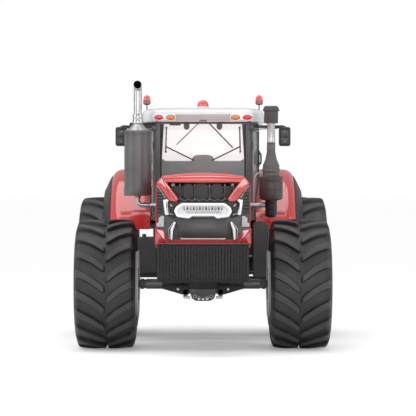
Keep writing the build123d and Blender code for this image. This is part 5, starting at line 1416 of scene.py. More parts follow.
@dataclass
class Lamps:
    """The light bar with its diodes, the bright frames, the side and lower lamps and the trim; the
    white bar, diode cores, frames, inner strips and trim have a painted glow.
    """

    columns: int = 13

    def build(self, shop: Workshop) -> None:
        """Makes every lamp in place of the headlamp node."""
        box = Span.of("headlamps")
        back = box.high[1] - 0.0005
        self._bar(shop, back, box.low[1])
        self._side(shop, back)
        self._lower(shop, back)

    def _bar(self, shop: Workshop, back: float, front: float) -> None:
        """The white bar: a rounded frame round a sunk field with two rows of diodes."""
        half = [(0.292, 2.058), (0.372, 2.002), (0.394, 1.945), (0.352, 1.868), (0.186, 1.845),
                (0.148, 1.879)]
        outline = rounded(half + [(-x, z) for x, z in reversed(half)], 0.022, 5)
        field_half = [(0.256, 2.014), (0.306, 1.985), (0.320, 1.948), (0.296, 1.918), (0.18, 1.904),
                      (0.13, 1.904)]
        inner = rounded(field_half + [(-x, z) for x, z in reversed(field_half)], 0.014, 5)
        levels = ((0.010, back), (0.0, back - 0.01), (0.0, front + 0.020), (0.003, front + 0.009),
                  (0.010, front + 0.002), (0.020, front + 0.0005), (0.030, front + 0.003))
        body = stacked(outline, levels)
        sunk = [placed(inset(outline, 0.030), front + 0.003), placed(inner, front + 0.016),
                placed(inset(inner, 0.006), front + 0.024), placed(inset(inner, 0.02), front + 0.025)]
        dish = grid(np.stack(sunk), wrap_v=True)
        count = len(outline)
        dish.faces.append(np.arange(count)[None, :] + count * (len(sunk) - 1))
        body.faces.append(np.arange(count)[None, ::-1])
        # The bar's white body has a painted glow from its finish.
        shop.piece("light_bar", body, "light_bar", ["headlamps"], closed=False, sharp=50,
                   body=Body.HOOD)
        shop.piece("light_bar_field", dish, "field", closed=False, sharp=50, body=Body.HOOD)
        self._diodes(shop, front)

    def _diodes(self, shop: Workshop, front: float) -> None:
        """Round diodes in an upper row and slots in a lower row."""
        pane = np.array(rectangle((-0.0130, 0.0130), (-0.022, 0.022)))
        upper = [prism(rounded(pane + (v, 1.984), 0.008, 3), front + 0.018, front + 0.026, 0.003, 2)
                 for v in np.linspace(-0.252, 0.252, self.columns)]
        shop.piece("light_bar_diodes", joined(upper), "diode", body=Body.HOOD)
        cores = [prism(rounded(0.40 * pane + (v, 1.990), 0.003, 2), front + 0.013, front + 0.02, 0.002,
                       1) for v in np.linspace(-0.252, 0.252, self.columns)[::2]]
        # The diode cores have the same painted glow.
        shop.piece("light_bar_cores", joined(cores), "light_bar", body=Body.HOOD)
        low = [prism(rounded(0.42 * pane[:, ::-1] * (-1, 1) + (v, z), 0.003, 2), front + 0.019,
                     front + 0.025, 0.002, 1) for z, shift in ((1.946, 0.0), (1.926, 0.014))
               for v in np.linspace(-0.226, 0.226, 17) + shift]
        shop.piece("light_bar_reflectors", joined(low), "steel", body=Body.HOOD)
        slot = prism(rounded([(-0.138, 1.862), (0.138, 1.862), (0.118, 1.885), (-0.118, 1.885)], 0.008,
                             3), front + 0.02, front + 0.05, 0.004)
        shop.piece("light_bar_slot", slot, "gloss_black", body=Body.HOOD)

    def _side(self, shop: Workshop, back: float) -> None:
        """The boomerangs, bright with a painted glow, and the dark lamps between them and the bar."""
        frame_ = rounded([(0.478, 2.112), (0.501, 2.112), (0.523, 2.050), (0.499, 1.898),
                          (0.476, 1.898), (0.492, 2.042)], 0.010, 4)
        # The boomerangs have a painted glow from their finish.
        shop.piece("lamp_boomerangs", both_sides(prism(frame_, back - 0.060, back, 0.008, 4)),
                   "light_bar", body=Body.HOOD)
        wing = rounded([(0.540, 2.104), (0.462, 2.104), (0.480, 2.049), (0.463, 1.897), (0.512, 1.897),
                        (0.531, 2.016)], 0.010, 4)
        shop.piece("lamp_wings", both_sides(prism(wing, back - 0.052, back, 0.008, 4)), "field",
                   body=Body.HOOD)
        lens = rounded([(0.404, 2.030), (0.452, 2.068), (0.482, 2.040), (0.468, 1.907), (0.382, 1.882),
                        (0.402, 1.945)], 0.014, 4)
        shop.piece("side_lamps", both_sides(prism(lens, back - 0.030, back, 0.010, 4)), "mesh",
                   body=Body.HOOD)
        shine = [prism(rounded(c, 0.006, 3), back - 0.036, back - 0.024, 0.004)
                 for c in ([(0.410, 2.018), (0.448, 2.052), (0.452, 2.040), (0.420, 2.006)],
                           [(0.398, 1.892), (0.455, 1.908), (0.460, 1.924), (0.404, 1.906)])]
        shop.piece("side_lamp_edges", both_sides(joined(shine)), "bright", body=Body.HOOD)

    def _lower(self, shop: Workshop, back: float) -> None:
        """The slanted lower lamps, their inner edges bright with a painted glow, the brackets, and the
        trim strip with a painted glow.
        """
        shell = rounded([(0.365, 1.797), (0.384, 1.811), (0.473, 1.700), (0.469, 1.561), (0.405, 1.548),
                         (0.393, 1.690)], 0.012, 4)
        shop.piece("lower_lamp_shells", both_sides(prism(shell, back - 0.044, back, 0.010, 4)), "mesh",
                   body=Body.HOOD)
        strip = rounded([(0.368, 1.797), (0.386, 1.806), (0.438, 1.708), (0.441, 1.566), (0.414, 1.556),
                         (0.404, 1.690)], 0.008, 3)
        # The inner strips have a painted glow from their finish.
        shop.piece("lower_lamp_strips", both_sides(prism(strip, back - 0.052, back - 0.03, 0.006, 3)),
                   "light_bar", body=Body.HOOD)
        cells = [prism(rounded(np.array([(-0.010, -0.010), (0.010, -0.006), (0.010, 0.010),
                                         (-0.010, 0.006)]) + (np.interp(z, [1.57, 1.70, 1.79],
                                                                        [0.427, 0.421, 0.386]), z),
                               0.003, 2), back - 0.056, back - 0.048, 0.002, 1)
                 for z in np.linspace(1.585, 1.765, 7)]
        shop.piece("lower_lamp_cells", both_sides(joined(cells)), "field", body=Body.HOOD)
        outer = spline([(0.386, 1.803), (0.462, 1.705), (0.460, 1.640), (0.458, 1.570)], 8)
        path = placed(outer, back - 0.044 + 0.003)
        shop.piece("lower_lamp_edges", both_sides(tube(path, 0.0045, 8)), "bright",
                   body=Body.HOOD)
        bracket = rounded([(0.526, 1.882), (0.574, 1.882), (0.574, 1.862), (0.599, 1.862),
                           (0.599, 1.79), (0.626, 1.788), (0.626, 1.737), (0.527, 1.737)], 0.006, 3)
        plate = prism(bracket, back - 0.020, back, 0.004)
        shop.piece("panel_brackets", both_sides(plate), "bracket", body=Body.HOOD)
        dots = [(s * x, back - 0.020, z) for s in (-1, 1) for x, z in ((0.548, 1.845), (0.58, 1.765))]
        shop.piece("bracket_bolts", bolts(dots, "Y", 0.008, -0.004), "steel", body=Body.HOOD)
        strip = rounded([(0.315, 1.588), (0.298, 1.566), (-0.298, 1.566), (-0.315, 1.588)], 0.004, 3)
        # The trim strip has a painted glow from its finish.
        shop.piece("trim_strip", prism(strip, back - 0.030, back, 0.006, 3), "light_bar",
                   body=Body.HOOD)
        shop.piece("trim_screw", bolts([(0.0, back - 0.0285, 1.579)], "Y", 0.008, -0.0012, 12),
                   "gloss_black", body=Body.HOOD)


# ---------------------------------------------------------------- fenders and roof
FENDER_RISE = 0.420  # from the rear tyre's radius to the fender's


@dataclass
class Fender:
    """A rear fender: a painted skin turned about the axle's line, with a black flare beside it."""

    side: Side
    start: float = 50.0
    end: float = 157.0
    thickness: float = 0.014

    def _axis(self) -> tuple[float, float]:
        """The y and z of the line that the skins are turned about."""
        tyre = Span.of("rear_tyre_left")
        return tyre.centre[1] + 0.03, tyre.centre[2] + 0.01

    def _skin(self, profile: Sequence[Flat], start: float, end: float, samples: int) -> Surface:
        """A profile of (x, radius) points swept round the axis, with its inner wall and rims.

        The point (x, r) at angle a goes to (x, y0 + r cos a, z0 + r sin a).
        """
        y0, z0 = self._axis()
        outer = np.asarray(profile, float)
        inner = outer[::-1] - np.array([0.0, self.thickness])
        loop = np.concatenate([outer, inner])
        turn = np.radians(np.linspace(start, end, samples))[:, None]
        radius = loop[None, :, 1]
        x = np.broadcast_to(loop[None, :, 0], (samples, len(loop)))
        points = np.stack([x, y0 + radius * np.cos(turn), z0 + radius * np.sin(turn)], -1)
        found = capped(grid(points, wrap_v=True), len(loop))
        return found if self.side is Side.LEFT else found.mirrored()

    def build(self, shop: Workshop) -> None:
        """Makes the painted skin and its neck to the cab in place of the node."""
        name = "fender_" + self.side.name.lower()
        box = Span.of(name)
        edge = max(abs(box.low[0]), abs(box.high[0])) - 0.001
        tyre = Span.of("rear_tyre_left")
        top = tyre.size[2] / 2 + FENDER_RISE - 0.0015
        profile = spline([(0.847, top), (1.20, top), (1.255, top - 0.002), (1.300, top - 0.012),
                          (1.338, top - 0.034), (1.366, top - 0.062), (edge, top - 0.104)], 6)
        skin = self._skin(profile, self.start, self.end - 0.02, 97)
        neck = self._skin([(0.792, top), (0.850, top)], 121.6, self.end - 0.02, 33)
        shop.piece(name + "_skin", joined([skin, neck]), "red_polished", [name])


@dataclass
class Flares:
    """The black outer flares of both fenders, with a rolled lip."""

    def build(self, shop: Workshop) -> None:
        """Makes both flares in place of their node."""
        tyre = Span.of("rear_tyre_left")
        top = tyre.size[2] / 2 + FENDER_RISE
        lip = tyre.size[2] / 2 + 0.080
        edge = top - 0.105
        inner, outer = 1.3965, 1.5135
        profile = spline([(inner, edge + 0.004), (inner + 0.022, edge - 0.022),
                          (inner + 0.060, edge - 0.42 * (edge - lip)),
                          (inner + 0.088, edge - 0.68 * (edge - lip)), (outer, lip + 0.020)], 6)
        side = Fender(Side.LEFT, thickness=0.013)
        skin = side._skin(profile, side.start, side.end - 0.02, 97)
        shop.piece("flare_skins", both_sides(skin), "flare", ["fender_flares"])


@dataclass
class Roof:
    """The white roof: a loft of plan outlines from the fascia over the shoulder to the crown."""

    def _plan(self) -> Array:
        """The plan outline, with rounded corners."""
        box = Span.of("roof")
        half, front, rear = box.high[0], box.low[1] + 0.026, box.high[1]
        outline = [(-half + 0.175, front), (half - 0.175, front), (half - 0.025, front + 0.23),
                   (half, front + 0.60), (half, rear - 0.46), (half - 0.055, rear),
                   (-half + 0.055, rear), (-half, rear - 0.46), (-half, front + 0.60),
                   (-half + 0.025, front + 0.23)]
        return rounded(outline, 0.09, 8)

    def build(self, shop: Workshop) -> None:
        """Makes the shell, the grey front fascia, the pods, the seal and the latch."""
        box = Span.of("roof")
        low = box.low[2]
        plan = self._plan()
        heights = [(0.020, 0.001), (0.002, 0.004), (0.0, 0.014), (0.0, 0.098), (0.004, 0.108),
                   (0.0045, 0.114), (0.010, 0.140), (0.020, 0.160), (0.036, 0.177), (0.062, 0.191),
                   (0.105, 0.202), (0.180, 0.210), (0.300, 0.2145), (0.520, 0.217), (0.800, 0.218)]
        centre, half = (plan.min(0) + plan.max(0)) / 2, np.ptp(plan[:, 0]) / 2
        rings = np.stack([placed(centre + (plan - centre) * (1 - d / half), low + z, Facing.PLAN)
                          for d, z in heights])
        shell = capped(grid(rings, wrap_v=True), len(plan))
        shop.piece("roof_shell", shell, "white", ["roof"], sharp=45)
        front = box.low[1] + 0.026
        fascia = prism(rounded(offset((0, low), [(-0.40, 0.016), (0.40, 0.016), (0.43, 0.112),
                                                 (-0.43, 0.112)]), 0.012, 4), front - 0.006,
                       front + 0.01, 0.003)
        shop.piece("roof_fascia", fascia, "fascia")
        pod = rounded(offset((0, low), [(0.395, 0.044), (0.427, 0.018), (0.716, 0.018), (0.738, 0.042),
                                        (0.738, 0.098), (0.716, 0.118), (0.442, 0.118),
                                        (0.395, 0.094)]), 0.022, 5)
        plate = prism(pod, front - 0.0255, front + 0.02, 0.012, 4)
        shop.piece("lamp_pods", both_sides(plate), "white")
        seal = prism(rounded(rectangle((-0.70, 0.70), (low + 0.0005, low + 0.013)), 0.004, 2),
                     front + 0.002, front + 0.05, 0.002)
        shop.piece("roof_seal", seal, "gloss_black")
        grip = prism(rounded(offset((0, low), [(-0.055, 0.010), (0.055, 0.010), (0.045, 0.030),
                                               (-0.045, 0.030)]), 0.006, 3), front - 0.012,
                     front + 0.01, 0.004)
        shop.piece("fascia_latch", grip, "gloss_black")


@dataclass
class RoofLamps:
    """Oval lamps in the pods, red outside and amber inside, and the work lamps behind."""

    places: tuple = (-0.650, -0.476, 0.476, 0.650)

    def build(self, shop: Workshop) -> None:
        """Makes the lenses, their bezels and the rear lamps."""
        box, roof = Span.of("roof_lamps"), Span.of("roof")
        front, rear = box.low[1], roof.high[1]
        z = roof.low[2] + 0.066
        turn = np.linspace(0, 2 * np.pi, 40, endpoint=False)
        oval = np.stack([np.cos(turn) * 0.062, np.sin(turn) * 0.031], -1)
        lenses = {}
        for x in self.places:
            outline = oval + np.array([x, z])
            lenses.setdefault("red" if abs(x) > 0.55 else "amber",
                              []).append(prism(outline, front + 0.0005, front + 0.02, 0.010, 5))
        shop.piece("oval_lenses_amber", joined(lenses["amber"]), "amber", ["roof_lamps"])
        shop.piece("oval_lenses_red", joined(lenses["red"]), "red_lens")
        rims = [tube(placed(oval * 1.04 + np.array([x, z]), front + 0.0125), 0.0035, 8, up=(0, 1, 0),
                     closed=True) for x in self.places]
        shop.piece("oval_bezels", joined(rims), "gloss_black")
        low = roof.low[2]
        back = [slab((x - 0.079, x + 0.079), (rear - 0.001, rear + 0.029), (low + 0.026, low + 0.099),
                     0.006, 0.014) for x in (-0.6, 0.6)]
        shop.piece("rear_work_lamps", joined(back), "lamp")


@dataclass
class Beacons:
    """The dome on the roof and the two lamps on stalks."""

    def build(self, shop: Workshop) -> None:
        """Makes domes, collars and stalks in place of the node."""
        box, roof = Span.of("beacons"), Span.of("roof")
        top = roof.high[2] - 0.006
        x0 = box.high[0] - 0.054
        dome = offset((top, 0), [(0.0005, 0.010), (0.0005, 0.083), (0.030, 0.083), (0.043, 0.080),
                                 (0.064, 0.071), (0.081, 0.056), (0.092, 0.034), (0.098, 0.010),
                                 (0.098, 1e-5)])
        centre = (0.0, box.high[1] - 0.084, 0.0)
        high = box.high[2]
        flask = offset((high, 0), [(-0.128, 0.030), (-0.128, 0.053), (-0.07, 0.0535), (-0.045, 0.050),
                                   (-0.025, 0.042), (-0.008, 0.026), (-0.001, 0.008), (-0.001, 1e-5)])
        side_y = box.low[1] + 0.054
        stalk = offset((high, 0), [(-0.150, 0.012), (-0.145, 0.040), (-0.134, 0.0535), (-0.127, 0.0535),
                                   (-0.126, 0.020)])
        shop.piece("beacon_lenses", joined([lathe(dome, "Z", centre, 48)]
                                           + [lathe(flask, "Z", (s * x0, side_y, 0), 32)
                                              for s in (-1, 1)]), "beacon", ["beacons"])
        band = [(high - 0.129, 0.0525), (high - 0.129, 0.0548), (high - 0.074, 0.0552),
                (high - 0.074, 0.0530)]
        shop.piece("beacon_bands", joined([lathe(band, "Z", (s * x0, side_y, 0), 32) for s in (-1, 1)]),
                   "beacon_foot", closed=False)
        foot = roof.low[2] + 0.130
        stalks = [lathe(stalk, "Z", (s * x0, side_y, 0), 32) for s in (-1, 1)]
        stalks += [tube([(s * x0, side_y, foot), (s * x0, side_y, high - 0.140)], 0.0085, 12)
                   for s in (-1, 1)]
        collar = offset((top, 0), [(-0.030, 1e-4), (-0.030, 0.095), (-0.020, 0.092), (-0.004, 0.088),
                                   (0.0003, 0.0835), (0.0003, 1e-4)])
        shop.piece("beacon_stalks", joined(stalks), "gloss_black")
        shop.piece("beacon_foot", lathe(collar, "Z", centre, 48), "white")


# ---------------------------------------------------------------- exhaust and intake
@dataclass
class Exhaust:
    """The aftertreatment canister with its cone and collar, the stack and the inlet elbow."""

    def build(self, shop: Workshop) -> None:
        """Makes canister and pipes in place of their nodes."""
        can = Span.of("exhaust_can")
        x, y = can.centre[0], can.centre[1]
        z0, z1 = can.low[2], can.high[2]
        r = can.size[0] / 2 - 0.001
        shell = [(z0 + 0.0005, 1e-4), (z0 + 0.0005, r - 0.020), (z0 + 0.006, r - 0.006),
                 (z0 + 0.016, r - 0.0008), (z0 + 0.118, r - 0.0008), (z0 + 0.121, r - 0.006),
                 (z0 + 0.124, r - 0.006), (z1 - 0.178, r - 0.006), (z1 - 0.174, r - 0.001),
                 (z1 - 0.160, r - 0.0008), (z1 - 0.156, r - 0.004), (z1 - 0.152, r - 0.0008),
                 (z1 - 0.120, r - 0.0008), (z1 - 0.112, r - 0.008), (z1 - 0.106, r - 0.022)]
        cone = [(z1 - 0.106, r - 0.018), (z1 - 0.100, r - 0.026), (z1 - 0.060, r - 0.090),
                (z1 - 0.030, 0.088), (z1 - 0.010, 0.073), (z1 - 0.0005, 0.070), (z1 - 0.0005, 1e-4)]
        place = (x, y, 0.0)
        shop.piece("canister_shell", lathe(shell + [(z1 - 0.104, 1e-4)], "Z", place, 96), "canister",
                   ["exhaust_can"])
        shop.piece("canister_cone", lathe([(z1 - 0.106, 1e-4)] + cone, "Z", place, 96), "bright")
        self._rivets(shop, x, y, z0, z1, r)
        self._stack(shop, x, y)
        self._inlet(shop, x, y, z0)

    def _rivets(self, shop: Workshop, x: float, y: float, z0: float, z1: float, r: float) -> None:
        """Rows of holes round the collar, and the rivets down the seams."""
        holes = []
        for row, z in enumerate((z1 - 0.146, z1 - 0.131)):
            for k in range(44):
                t = math.radians((k + 0.5 * row) * 360 / 44)
                centre = (x + (r - 0.0002) * math.cos(t), y + (r - 0.0002) * math.sin(t), z)
                disc = lathe([(-0.002, 0.0048), (0.0004, 0.0048), (0.0006, 1e-5)], "X", (0, 0, 0), 8)
                holes.append(disc.turned("Z", math.degrees(t)).moved(centre))
        shop.piece("collar_holes", joined(holes), "gloss_black")
        studs = []
        for degrees_ in (-98, -62, -128):
            for z in np.linspace(z0 + 0.16, z1 - 0.22, 8):
                t = math.radians(degrees_)
                centre = (x + (r - 0.006) * math.cos(t), y + (r - 0.006) * math.sin(t), z)
                head = lathe([(-0.001, 0.006), (0.002, 0.005), (0.003, 1e-5)], "X", (0, 0, 0), 8)
                studs.append(head.turned("Z", degrees_).moved(centre))
        shop.piece("canister_rivets", joined(studs), "dark")
        seam = []
        for degrees_ in (-80, -150):
            t = math.radians(degrees_)
            px, py = x + (r - 0.006) * math.cos(t), y + (r - 0.006) * math.sin(t)
            seam.append(tube([(px, py, z0 + 0.126), (px, py, z1 - 0.18)], 0.0022, 6))
        shop.piece("canister_seams", joined(seam), "steel")

    def _stack(self, shop: Workshop, x: float, y: float) -> None:
        """The pipe up from the cone, which bends forwards to an open mouth."""
        pipe = Span.of("exhaust_pipe")
        base = Span.of("exhaust_can").high[2] + 0.0005
        mouth_y, r = pipe.low[1], 0.0595
        top = pipe.high[2] - 0.061
        collar = offset((base, 0), [(0, 0.062), (0, 0.081), (0.010, 0.0815), (0.055, 0.076),
                                    (0.062, 0.074), (0.068, 0.0755), (0.128, 0.0755), (0.134, 0.072),
                                    (0.139, 0.061), (0.139, 0.050)])
        bend = np.linspace(0, np.pi / 2, 13)
        curve = 0.090
        arc = np.stack([np.full(13, x), y - curve + curve * np.cos(bend),
                        top - curve + curve * np.sin(bend)], -1)
        path = np.concatenate([[(x, y, base + 0.12), (x, y, base + 0.30)], arc,
                               [(x, mouth_y + 0.001, top)]])
        outer = tube(path, r, 40, up=(1, 0, 0))
        outer.faces = outer.faces[:2]
        inner = tube(path[4:], r - 0.0045, 40, up=(1, 0, 0))
        inner.faces = [inner.faces[0][:, ::-1]]
        shop.piece("stack_pipe", joined([lathe(collar, "Z", (x, y, 0), 48),
                                         self._lipped(outer, inner)]), "bright",
                   ["exhaust_pipe"], closed=False)
        soot = lathe(offset((mouth_y, r), [(0.0005, -0.0012), (0.001, -0.0052), (0.05, -0.0056),
                                           (0.075, -0.0060)]) + [(mouth_y + 0.078, 1e-5)], "Y",
                     (x, 0, top), 40)
        shop.piece("stack_mouth", soot, "soot", closed=False)

    @staticmethod
    def _lipped(outer: Surface, inner: Surface) -> Surface:
        """An outer and an inner tube joined by a ring at their last rows."""
        both = joined([outer, inner])
        sides = 40
        last_outer = len(outer.points) - sides + np.arange(sides)
        last_inner = len(both.points) - sides + np.arange(sides)
        ring = np.stack([last_outer, np.roll(last_outer, -1), np.roll(last_inner, -1), last_inner], -1)
        both.faces.append(ring)
        return both

    def _inlet(self, shop: Workshop, x: float, y: float, z0: float) -> None:
        """The polished elbow from under the canister into the hood's side, with two clamps."""
        pipe = Span.of("exhaust_pipe")
        z, end = pipe.low[2] + 0.036, pipe.high[0]
        bend = np.linspace(0, np.pi / 2, 11)
        curve = 0.07
        arc = np.stack([x + curve - curve * np.cos(bend), np.full(11, y),
                        z + curve - curve * np.sin(bend)], -1)
        path = np.concatenate([[(x, y, z0 - 0.0005), (x, y, z0 - 0.02)], arc,
                               [(x + 0.2, y, z), (end, y, z)]])
        rings = [lathe([(z0 - 0.03, 0.03), (z0 - 0.03, 0.0455), (z0 - 0.006, 0.0455),
                        (z0 - 0.006, 0.03)], "Z", (x, y, 0), 32),
                 lathe([(x + 0.15, 0.03), (x + 0.15, 0.0355), (x + 0.175, 0.0355), (x + 0.175, 0.03)],
                       "X", (0, y, z), 32)]
        shop.piece("inlet_elbow", tube(path, 0.0350, 32, up=(0, 1, 0)), "bright")
        shop.piece("inlet_clamps", joined(rings), "steel")


@dataclass
class AirCleaner:
    """Bowl and boot, ribbed hose cone, bright riser and pre-cleaner cup, with the rail beside."""

    def build(self, shop: Workshop) -> None:
        """Makes every piece in place of the air cleaner and tube nodes."""
        box, tube_box = Span.of("air_cleaner"), Span.of("intake_tube")
        x, y, z0 = box.centre[0], box.centre[1], box.low[2]
        place = (x, y, 0.0)
        boot = [(0.0005, 1e-4), (0.001, 0.030), (0.006, 0.054), (0.018, 0.072), (0.034, 0.082),
                (0.055, 0.0868), (0.10, 0.0872), (0.104, 0.084), (0.110, 0.0872), (0.20, 0.0872),
                (0.206, 0.083), (0.214, 0.0872), (0.250, 0.0872), (0.256, 0.10)]
        bowl = [(0.250, 0.10), (0.262, 0.147), (0.272, 0.163), (0.284, 0.1705), (0.40, 0.1708),
                (0.404, 0.167), (0.410, 0.1708), (0.52, 0.1712), (0.525, 0.1675), (0.532, 0.1712),
                (0.594, 0.1712), (0.600, 0.166), (0.604, 0.130), (0.606, 0.124)]
        steps = []
        for low, r in ((0.608, 0.1245), (0.672, 0.1330), (0.719, 0.1230)):
            steps += offset((low, r), [(0, -0.004), (0.006, 0), (0.036, 0), (0.040, -0.004)])
        ribs = np.linspace(0.765, 1.097 - 0.130, 60)
        taper = np.interp(ribs, [0.765, 0.85, 0.967], [0.1225, 0.0865, 0.0635])
        cone = np.stack([ribs, taper - 0.0022 * (1 - np.cos(2 * np.pi * (ribs - 0.765) / 0.0185))], -1)
        neck = [(1.0, 0.0625), (1.06, 0.0625), (1.064, 0.060), (1.070, 0.0625), (1.0965, 0.0625),
                (1.0965, 1e-4)]
        shop.piece("cleaner_boot", self._turned(boot + [(0.256, 1e-4)], place, z0), "plastic",
                   ["air_cleaner"])
        shop.piece("cleaner_bowl", self._turned([(0.250, 1e-4)] + bowl + [(0.606, 1e-4)], place, z0),
                   "cup")
        shop.piece("cleaner_hose", self._turned([(0.604, 1e-4)] + steps + list(map(tuple, cone)) + neck,
                                                place, z0), "hose")
        self._cup(shop, place, box.high[2])
        self._tubes(shop, place, tube_box)
        self._rail(shop, x, y)

    @staticmethod
    def _turned(profile: Sequence[Flat], place: Sequence[float], base: float) -> Surface:
        """A profile above a base height turned about the cleaner's axis."""
        return lathe([(base + a, r) for a, r in profile], "Z", place, 72)

    def _cup(self, shop: Workshop, place: Sequence[float], top: float) -> None:
        """The cup with its brim, and vanes under the brim."""
        c0 = top - 0.255
        cup = offset((c0, 0), [(0.0005, 1e-4), (0.0005, 0.094), (0.008, 0.1025), (0.03, 0.1032),
                               (0.034, 0.1005), (0.040, 0.1032), (0.176, 0.1032), (0.183, 0.1235),
                               (0.188, 0.1244), (0.196, 0.1244), (0.203, 0.1200), (0.225, 0.110),
                               (0.245, 0.099), (0.2545, 0.088), (0.2545, 1e-4)])
        shop.piece("precleaner_cup", lathe(cup, "Z", place, 72), "cup")

    def _tubes(self, shop: Workshop, place: Sequence[float], box: Span) -> None:
        """The riser with its end beads, and the duct into the cowl with its clamp."""
        low, high = Span.of("air_cleaner").low[2] + 1.0973, box.high[2]
        riser = [(low, 0.05), (low, 0.0575), (low + 0.012, 0.0605), (low + 0.02, 0.058),
                 (low + 0.024, 0.0575), (high - 0.02, 0.0575), (high - 0.014, 0.0605), (high, 0.0605),
                 (high, 0.05)]
        z = box.low[2] + 0.038
        start, end = box.low[0], place[0] - 0.088
        duct = [(start, 1e-4), (start, 0.0365), (start + 0.03, 0.0372), (start + 0.036, 0.0345),
                (end - 0.05, 0.0345), (end - 0.044, 0.0372), (end - 0.004, 0.0372), (end, 0.034),
                (end, 1e-4)]
        shop.piece("intake_riser", lathe(riser, "Z", place, 56), "bright", ["intake_tube"])
        shop.piece("intake_duct", lathe(duct, "X", (0, place[1], z), 40), "bright")

    def _rail(self, shop: Workshop, x: float, y: float) -> None:
        """The thin light rail that curves up beside the cleaner."""
        path = spline(offset((x, y, 0), [(-0.245, 0.02, 2.06), (-0.250, 0.02, 2.20),
                                         (-0.246, 0.02, 2.36), (-0.215, 0.02, 2.455),
                                         (-0.150, 0.02, 2.49), (-0.125, 0.02, 2.49)]), 8)
        shop.piece("cleaner_rail", tube(path, 0.010, 12, up=(0, 1, 0)), "bracket")


# ---------------------------------------------------------------- cab
@dataclass
class Windshield:
    """What lies on and behind the windshield: printed border, wipers, guard bars, tabs and dash."""

    half: float = 0.631
    bow: float = 0.060
    sill: float = 2.658
    top: float = 3.204

    def _glass_y(self, x: Array | float) -> Array | float:
        """The outer face of the glass: y = front - bow * (1 - (x / half) ^ 2)."""
        front = Span.of("cab_glass").low[1] + self.bow
        return front - self.bow * (1 - (np.asarray(x) / self.half) ** 2)

    def _on_glass(self, path: Sequence[Flat], out: float, samples: int = 8) -> Array:
        """Points (x, z) along straight runs, laid a distance in front of the glass."""
        line = np.asarray(path, float)
        at = np.linspace(0, len(line) - 1, (len(line) - 1) * samples + 1)
        x, z = (np.interp(at, np.arange(len(line)), line[:, k]) for k in (0, 1))
        return np.stack([x, self._glass_y(x) - out, z], -1)

    def build(self, shop: Workshop) -> None:
        """Makes the border, the wipers, the bars and the dash top."""
        self._border(shop)
        self._wipers(shop)
        self._bars(shop)
        self._dash(shop)

    def _border(self, shop: Workshop) -> None:
        """The black printed border: strips between x_in(z) and the glass's edge, and corner fillets."""
        z = np.linspace(Span.of("cab_glass").low[2] + 0.004, self.top, 25)[:, None]
        inner = np.interp(z, [2.69, self.top], [0.606, 0.578])
        x = inner + (self.half + 0.004 - inner) * np.linspace(0, 1, 4)[None, :]
        strip = grid(np.stack([x, self._glass_y(x) - 0.003, np.broadcast_to(z, x.shape)], -1))
        shop.piece("windshield_border", both_sides(strip), "gloss_black", closed=False)

    def _wipers(self, shop: Workshop) -> None:
        """Two wipers hung from the header, each an arm over a blade, with its pivot."""
        for name, start, end, thick, material in (("left", (0.087, 3.216), (0.441, 2.854), 0.0085,
                                                   "gloss_black"),
                                                  ("right", (-0.066, 3.216), (-0.391, 2.897), 0.0065,
                                                   "trim")):
            arm = tube(self._on_glass([start, end], 0.030), thick, 8, up=(0, 1, 0))
            blade = tube(self._on_glass([start, end], 0.012)[2:], 0.005, 6, up=(0, 1, 0))
            pivot = lathe([(-0.012, 1e-4), (-0.012, 0.016), (0.02, 0.020), (0.024, 1e-4)], "Y",
                          (start[0], self._glass_y(start[0]) - 0.020, start[1] + 0.004), 20)
            shop.piece(f"wiper_{name}", joined([arm, blade, pivot]), material)

    def _bars(self, shop: Workshop) -> None:
        """Side bars and struts down to the instrument hood, header tabs and the shade's edge."""
        runs = [tube(self._on_glass([(s * 0.540, 3.159), (s * (0.540 + 0.010), 2.786)], 0.014), 0.0092,
                     10, up=(0, 1, 0)) for s in (-1, 1)]
        runs += [tube(self._on_glass([(s * 0.540, 2.868), (s * 0.150, 2.676)], 0.016), 0.0098, 10,
                      up=(0, 1, 0)) for s in (-1, 1)]
        feet = [lathe([(-0.006, 1e-4), (-0.006, 0.015), (0.012, 0.015), (0.014, 1e-4)], "Y",
                      (s * x, float(self._glass_y(x)) - 0.012, z), 16) for s in (-1, 1)
                for x, z in ((0.540, 3.150), (0.549, 2.795), (0.150, 2.676))]
        shop.piece("windshield_bars", joined(runs + feet), "cover")
        tabs = []
        for s in (-1, 1):
            tab = rounded([(s * 0.200, 3.215), (s * 0.284, 3.215), (s * 0.284, 3.150),
                           (s * 0.262, 3.118), (s * 0.222, 3.118), (s * 0.200, 3.150)], 0.02, 4)
            tabs.append(prism(tab, float(self._glass_y(0.25)) - 0.010,
                              float(self._glass_y(0.25)) + 0.004, 0.003))
        shade = rounded(rectangle((-0.495, -0.330), (3.182, 3.214)), 0.006, 3)
        at = float(self._glass_y(0.41))
        tabs.append(prism(shade, at - 0.014, at - 0.002, 0.003))
        shop.piece("header_tabs", joined(tabs), "trim")

    def _dash(self, shop: Workshop) -> None:
        """The grey band over the dash, up to the sill, with the instrument hood's hump."""
        x = np.concatenate([np.linspace(-0.608, -0.172, 21), np.linspace(-0.166, 0.166, 41),
                            np.linspace(0.172, 0.608, 21)])
        hump = self.sill + 0.096 * (1 - (np.abs(x) / 0.1665) ** 4).clip(0, 1) ** 0.45
        top = np.where(np.abs(x) < 0.168, hump, np.interp(np.abs(x), [0.538, 0.608],
                                                          [self.sill, self.sill + 0.042]))
        z = 1.80 + (top - 1.80) * np.array([[0.0], [0.5], [0.9], [0.985], [1.0]])
        out = np.array([[0.0035], [0.0035], [0.0035], [0.0035], [-0.004]])
        sheet = grid(np.stack([np.broadcast_to(x, z.shape), self._glass_y(x) - out, z], -1))
        shop.piece("dash_band", sheet, "dash", closed=False)


